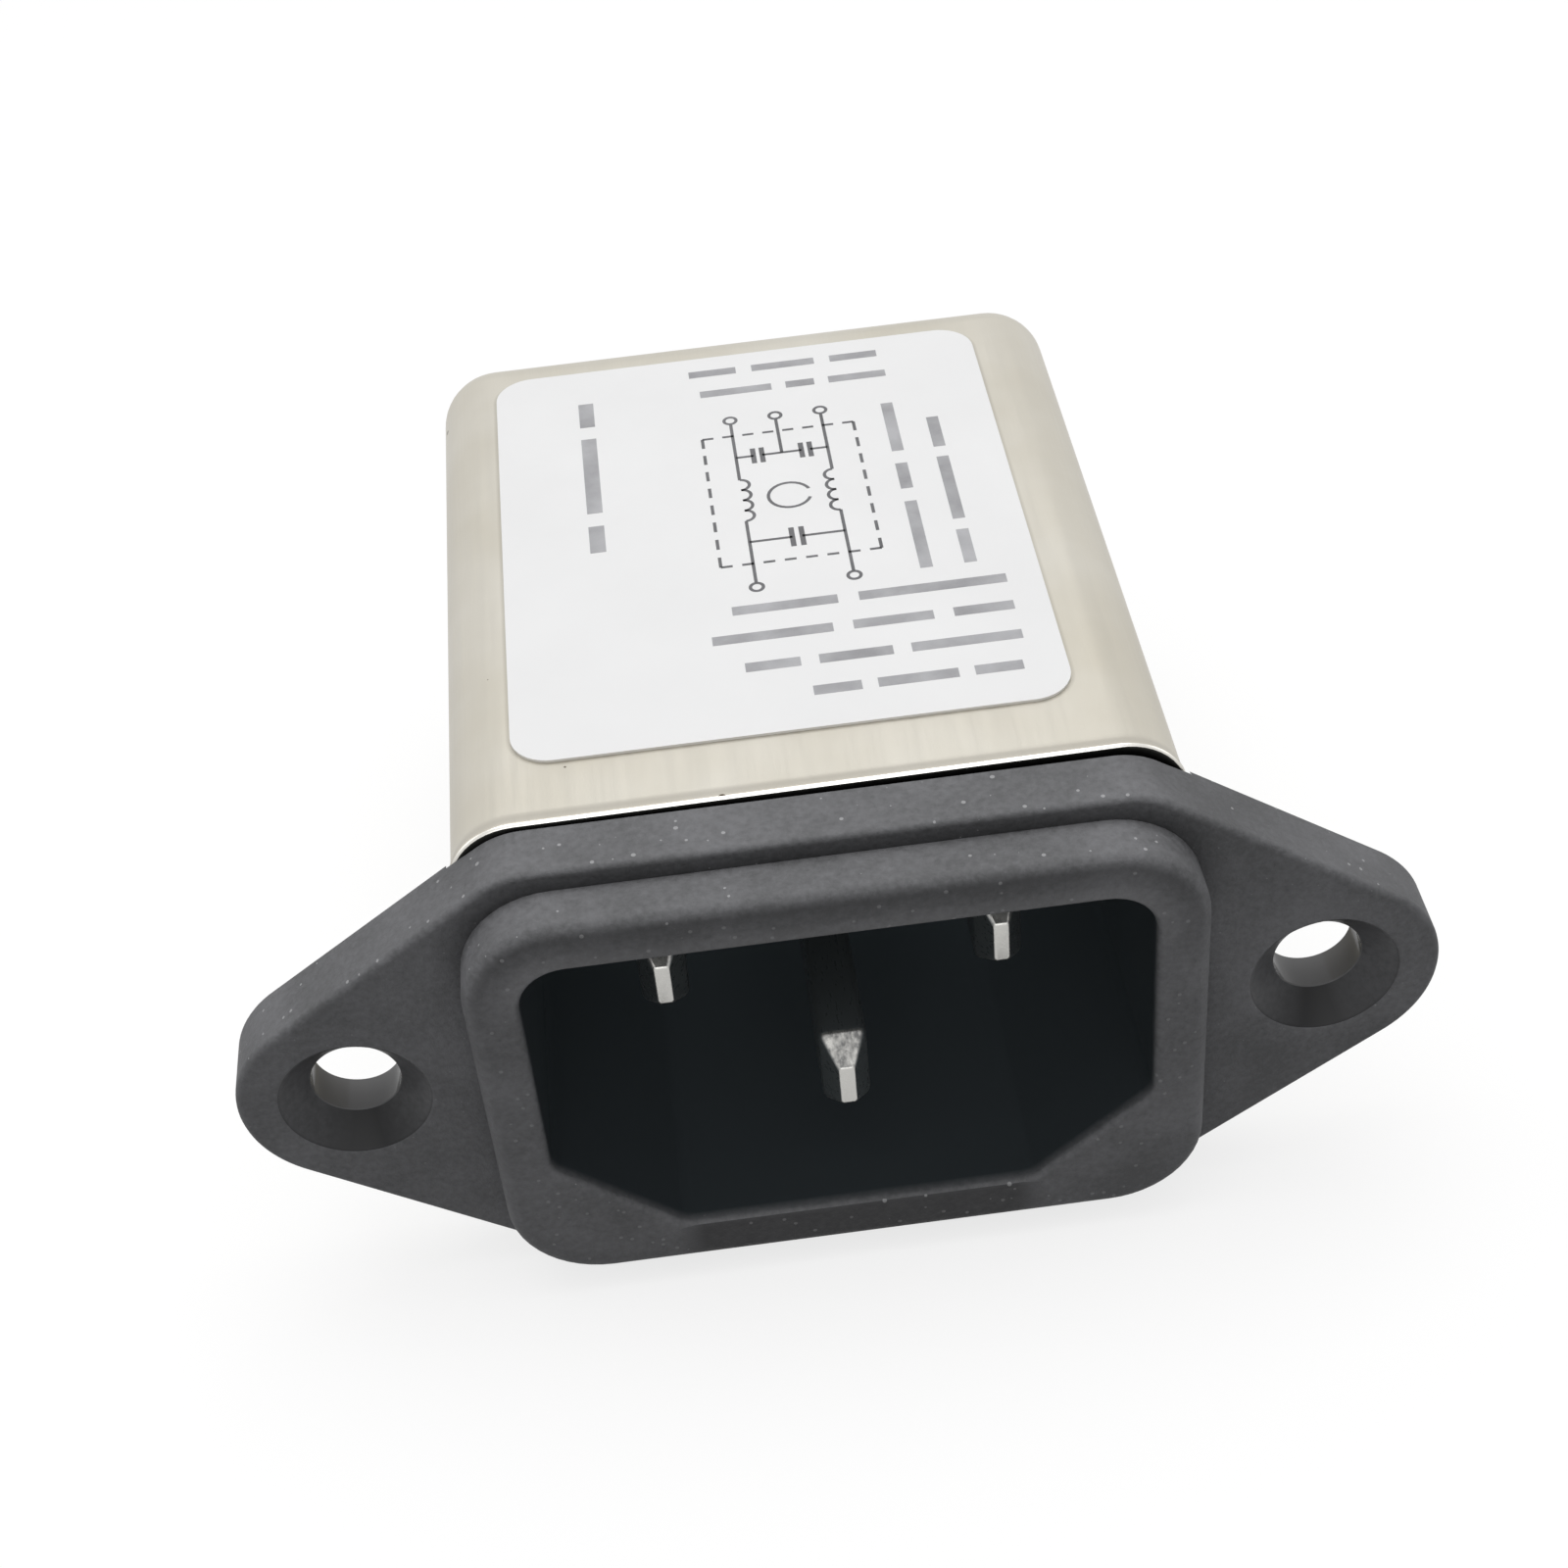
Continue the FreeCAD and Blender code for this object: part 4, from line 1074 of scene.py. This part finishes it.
def block_mesh():
    """Rows of plain printed blocks, each with its two ends, its height and its shares."""
    bm = bmesh.new()
    for first, last, height, shares in (
            ((21.0, 2.3), (12.4, 2.3), 0.6, (3, 1, 5, 1, 3)),
            ((21.3, 4.3), (9.8, 4.3), 0.6, (6, 1, 4, 1, 3)),
            ((21.3, 6.3), (8.6, 6.3), 0.6, (3, 1, 4, 1, 6)),
            ((21.3, 8.2), (9.6, 8.2), 0.6, (7, 1, 5)),
            ((18.1, 9.6), (18.1, 22.6), 0.55, (5, 1, 2, 1, 4)),
            ((20.0, 9.6), (20.0, 21.0), 0.55, (3, 1, 6, 1, 3)),
            ((18.4, 25.2), (9.6, 25.2), 0.55, (4, 1, 2, 1, 5)),
            ((18.2, 27.0), (9.2, 27.0), 0.55, (3, 1, 4, 1, 3)),
            ((4.2, 13.6), (4.2, 25.6), 0.7, (2, 1, 6, 1, 2))):
        bar(bm, first, last, height, shares)
    return bm


class MAINSFILTER_OT_label(Operator):
    """Build the label film and its generic print"""

    bl_idname = "mains_filter.label"
    bl_label = "Label"

    def execute(self, context):
        look = context.scene.label_settings
        film = to_object("label_film", label_mesh(look))
        finish_piece(film, film_material(), ["rating_label"])
        symbol = to_object("label_symbol", symbol_mesh(look))
        finish_piece(symbol, ink_material("label ink", look.ink), [])
        blocks = to_object("label_blocks", block_mesh())
        finish_piece(blocks, ink_material("pale label ink", look.pale_ink), [])
        return {"FINISHED"}


# Rear terminals

def bush_mesh(node):
    """Stadium-shaped flange of a terminal bush with a rounded rim."""
    bm = bmesh.new()
    low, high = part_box(node)
    sunk = 0.3 * MM
    rim = 0.5 * MM
    corner = 0.49 * (high.x - low.x)
    add_block(bm, (low.x, CAN_HIGH.y - sunk, low.z), high, corner, 10)
    round_off(bm, edges_at_y(bm, high.y), rim, 5)
    tidy(bm)
    return bm


def rivet_mesh():
    """Eyelet rivet with a rolled head and an open bore."""
    bm = bmesh.new()
    low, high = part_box("earth_rivet")
    radius = (high.x - low.x) / 2
    middle = ((low.x + high.x) / 2, (low.z + high.z) / 2)
    bore = 0.9 * MM
    base = high.y - 0.7 * MM
    foot = base - 0.6 * MM
    inner_roll = ((0.0, 0.32), (0.08, 0.14), (0.26, 0.03), (0.5, 0.0))
    outer_roll = ((0.62, 0.06), (0.28, 0.20), (0.07, 0.38), (0.0, 0.55))
    profile = [(bore, foot)]
    profile += [(bore + out * MM, high.y - drop * MM) for out, drop in inner_roll]
    profile += [(radius - back * MM, high.y - drop * MM) for back, drop in outer_roll]
    profile += [(radius, base), (bore + 0.4 * MM, foot), (bore, foot)]
    add_turned(bm, profile, middle, 48)
    tidy(bm)
    return bm


class MAINSFILTER_OT_terminals(Operator):
    """Build the rear tabs, their bushes and the earth rivet"""

    bl_idname = "mains_filter.terminals"
    bl_label = "Rear terminals"

    def execute(self, context):
        look = context.scene.terminal_settings
        plated = plated_material("tin plating", look.tin, look.dull_tin, 0.25, 0.26)
        for node in ("line_tab", "neutral_tab", "earth_tab"):
            tab = merged_copy(node, node + "_blade")
            soft = tab.modifiers.new("broken edges", "BEVEL")
            soft.width = 0.6 * look.edge
            soft.segments = 2
            soft.limit_method = "ANGLE"
            soft.angle_limit = math.radians(30)
            finish_piece(tab, plated, [node])
        bush = plain_material("black bush", (0.020, 0.020, 0.021), (0.034, 0.034, 0.035), 0.42, 0.60,
                              scale=8.0)
        for node in ("line_bush", "neutral_bush"):
            finish_piece(to_object(node + "_flange", bush_mesh(node)), bush, [node])
        brass = plain_material("plated eyelet", (0.74, 0.70, 0.58), (0.62, 0.57, 0.46), 0.22, 0.40,
                               metallic=1.0, scale=7.0, depth=0.006)
        finish_piece(to_object("earth_eyelet", rivet_mesh()), brass, ["earth_rivet"])
        return {"FINISHED"}


# Parts inside the can: each finish with its two tones, its range of roughness and the nodes that have it
INSIDE_FINISHES = (
    ("ferrite", (0.035, 0.035, 0.038), (0.06, 0.06, 0.062), 0.55, 0.75, ("choke_core", "earth_choke_core")),
    ("insulating paper", (0.52, 0.44, 0.31), (0.45, 0.37, 0.25), 0.7, 0.85, ("can_liner",)),
    ("laminate", (0.43, 0.31, 0.14), (0.36, 0.25, 0.11), 0.4, 0.55, ("circuit_board",)),
    ("natural plastic", (0.78, 0.77, 0.72), (0.72, 0.70, 0.64), 0.4, 0.55, ("choke_divider",)),
    ("capacitor box", (0.74, 0.58, 0.10), (0.66, 0.50, 0.08), 0.3, 0.45, ("x_capacitor",)),
    ("dipped coating", (0.10, 0.24, 0.50), (0.08, 0.20, 0.43), 0.25, 0.4,
     ("y_capacitor_line", "y_capacitor_neutral")),
    ("brown wire", (0.20, 0.09, 0.04), (0.16, 0.07, 0.03), 0.35, 0.5, ("line_lead",)),
    ("blue wire", (0.06, 0.16, 0.42), (0.05, 0.13, 0.36), 0.35, 0.5, ("neutral_lead",)),
    ("green wire", (0.10, 0.35, 0.10), (0.08, 0.29, 0.08), 0.35, 0.5, ("earth_lead",)),
)


def coat(nodes, material):
    """Gives CAD nodes a material."""
    for node in nodes:
        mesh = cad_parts[node].data
        mesh.materials.clear()
        mesh.materials.append(material)


class MAINSFILTER_OT_insides(Operator):
    """Give the parts inside the can their finishes"""

    bl_idname = "mains_filter.insides"
    bl_label = "Parts inside the can"

    def execute(self, context):
        for name, first, second, low, high, nodes in INSIDE_FINISHES:
            coat(nodes, plain_material(name, first, second, low, high))
        copper = plain_material("enamelled copper", (0.60, 0.26, 0.11), (0.46, 0.18, 0.07), 0.22, 0.36,
                                metallic=1.0)
        coat(("choke_line_winding", "choke_neutral_winding", "earth_choke_winding"), copper)
        coat(("earth_tag",), bpy.data.materials["tin plating"])
        return {"FINISHED"}


# Stage

def shown_rays(tree, path):
    """Mask of the rays that see the background: camera, glossy and transmission."""
    first = math_node(tree, "ADD", path["Is Camera Ray"], path["Is Glossy Ray"])
    return math_node(tree, "ADD", first, path["Is Transmission Ray"], True)


def floor_material(look):
    """Pale floor that looks white, keeps the object's soft shadow and runs into the background."""
    made = bpy.data.materials.new("pale floor")
    made.use_nodes = True
    tree = made.node_tree
    tree.nodes.clear()
    path = put(tree, "LightPath").outputs
    spot = put(tree, "TexCoord").outputs["Object"]
    distance = put(tree, "VectorMath", {0: spot}, operation="LENGTH").outputs["Value"]
    away = ramp(tree, distance, 0.05, 0.35, look.paper, 1.0)
    seen = times(tree, shown_rays(tree, path), away)
    shade = mix_colour(tree, path["Is Camera Ray"], look.floor, look.lit_floor)
    lit = put(tree, "BsdfDiffuse", {"Color": shade})
    white = put(tree, "Emission", {"Color": (1.0, 1.0, 1.0, 1.0), "Strength": 1.0})
    both = put(tree, "MixShader", {0: seen, 1: lit.outputs[0], 2: white.outputs[0]})
    put(tree, "OutputMaterial", {"Surface": both.outputs[0]})
    return made


def studio_world(look):
    """White background, with soft light from above and a little from all round."""
    world = bpy.data.worlds.new("studio")
    world.use_nodes = True
    tree = world.node_tree
    tree.nodes.clear()
    heading = split(tree, put(tree, "TexCoord").outputs["Generated"])
    above = math_node(tree, "POWER", math_node(tree, "MAXIMUM", heading["Z"], 0.0), 3.0)
    soft = math_node(tree, "ADD", times(tree, above, look.ceiling), look.room)
    level = remap(tree, shown_rays(tree, put(tree, "LightPath").outputs), soft, 1.0)
    light = put(tree, "Background", {"Color": (1.0, 1.0, 1.0, 1.0), "Strength": level})
    put(tree, "OutputWorld", {"Surface": light.outputs[0]})
    return world


def soft_light(name, strength, size, place):
    """Square softbox that faces the middle of the object."""
    middle = Vector((0.0, 0.012, 0.0))
    data = bpy.data.lights.new(name, "AREA")
    data.shape = "RECTANGLE"
    data.size, data.size_y = size
    data.energy = strength
    made = bpy.data.objects.new(name, data)
    made.location = place
    made.rotation_euler = (middle - Vector(place)).to_track_quat("-Z", "Y").to_euler()
    bpy.context.scene.collection.objects.link(made)


def photo_camera():
    """Camera at the photograph's place and angle, fitted to the screw holes and the pins."""
    data = bpy.data.cameras.new("photo_camera")
    data.sensor_width = 36.0
    data.lens = 59.737
    data.clip_start = 0.005
    data.clip_end = 10.0
    made = bpy.data.objects.new("photo_camera", data)
    right = Vector((0.99168404, -0.10390059, -0.07594367))
    up = Vector((0.12548215, 0.64956094, 0.74988320))
    turn = Matrix((right, up, right.cross(up))).transposed().to_4x4()
    place = Vector((-0.004128, -0.076043, 0.077864))
    made.matrix_world = Matrix.Translation(place) @ turn
    bpy.context.scene.collection.objects.link(made)
    return made


class MAINSFILTER_OT_stage(Operator):
    """Set up the floor, the lights, the background and the camera"""

    bl_idname = "mains_filter.stage"
    bl_label = "Stage"

    def execute(self, context):
        scene = context.scene
        look = scene.stage_settings
        bm = bmesh.new()
        bmesh.ops.create_grid(bm, x_segments=1, y_segments=1, size=1.5,
                              matrix=Matrix.Translation((0, 0, CAD_BOX[0][2])))
        floor = to_object("floor", bm)
        floor.data.materials.append(floor_material(look))
        side = (0.26, 0.20)
        soft_light("softbox_top", look.key, (0.34, 0.24), (-0.02, 0.06, 0.36))
        soft_light("softbox_front", look.front, (0.40, 0.30), (-0.02, -0.50, 0.20))
        soft_light("softbox_left", look.fill, side, (-0.34, 0.04, 0.14))
        soft_light("softbox_right", look.fill, side, (0.34, 0.05, 0.14))
        scene.world = studio_world(look)
        scene.view_settings.view_transform = "Standard"
        scene.camera = photo_camera()
        return {"FINISHED"}


class MAINSFILTER_PT_panel(Panel):
    """Pieces of the mains filter and their settings"""

    bl_idname = "MAINSFILTER_PT_panel"
    bl_label = "Mains filter"
    bl_space_type = "VIEW_3D"
    bl_region_type = "UI"
    bl_category = "Mains filter"

    def draw(self, context):
        for operator in OPERATORS:
            self.layout.operator(operator.bl_idname, text=operator.bl_label)
        for name, group in SETTINGS.items():
            box = self.layout.box()
            box.label(text=group.__doc__)
            for key in group.__annotations__:
                box.prop(getattr(context.scene, name), key)


SETTINGS = {
    "inlet_settings": InletSettings,
    "can_settings": CanSettings,
    "label_settings": LabelSettings,
    "terminal_settings": TerminalSettings,
    "stage_settings": StageSettings,
}
OPERATORS = (MAINSFILTER_OT_inlet, MAINSFILTER_OT_pins, MAINSFILTER_OT_can, MAINSFILTER_OT_label,
             MAINSFILTER_OT_terminals, MAINSFILTER_OT_insides, MAINSFILTER_OT_stage)


def register():
    for group in (*SETTINGS.values(), *OPERATORS, MAINSFILTER_PT_panel):
        bpy.utils.register_class(group)
    for name, group in SETTINGS.items():
        setattr(bpy.types.Scene, name, PointerProperty(type=group))


def unregister():
    for name in SETTINGS:
        delattr(bpy.types.Scene, name)
    for group in (MAINSFILTER_PT_panel, *reversed(OPERATORS), *SETTINGS.values()):
        bpy.utils.unregister_class(group)


def main():
    register()
    bpy.ops.mains_filter.inlet()
    bpy.ops.mains_filter.pins()
    bpy.ops.mains_filter.can()
    bpy.ops.mains_filter.label()
    bpy.ops.mains_filter.terminals()
    bpy.ops.mains_filter.insides()
    bpy.ops.mains_filter.stage()


if __name__ == "__main__":
    main()
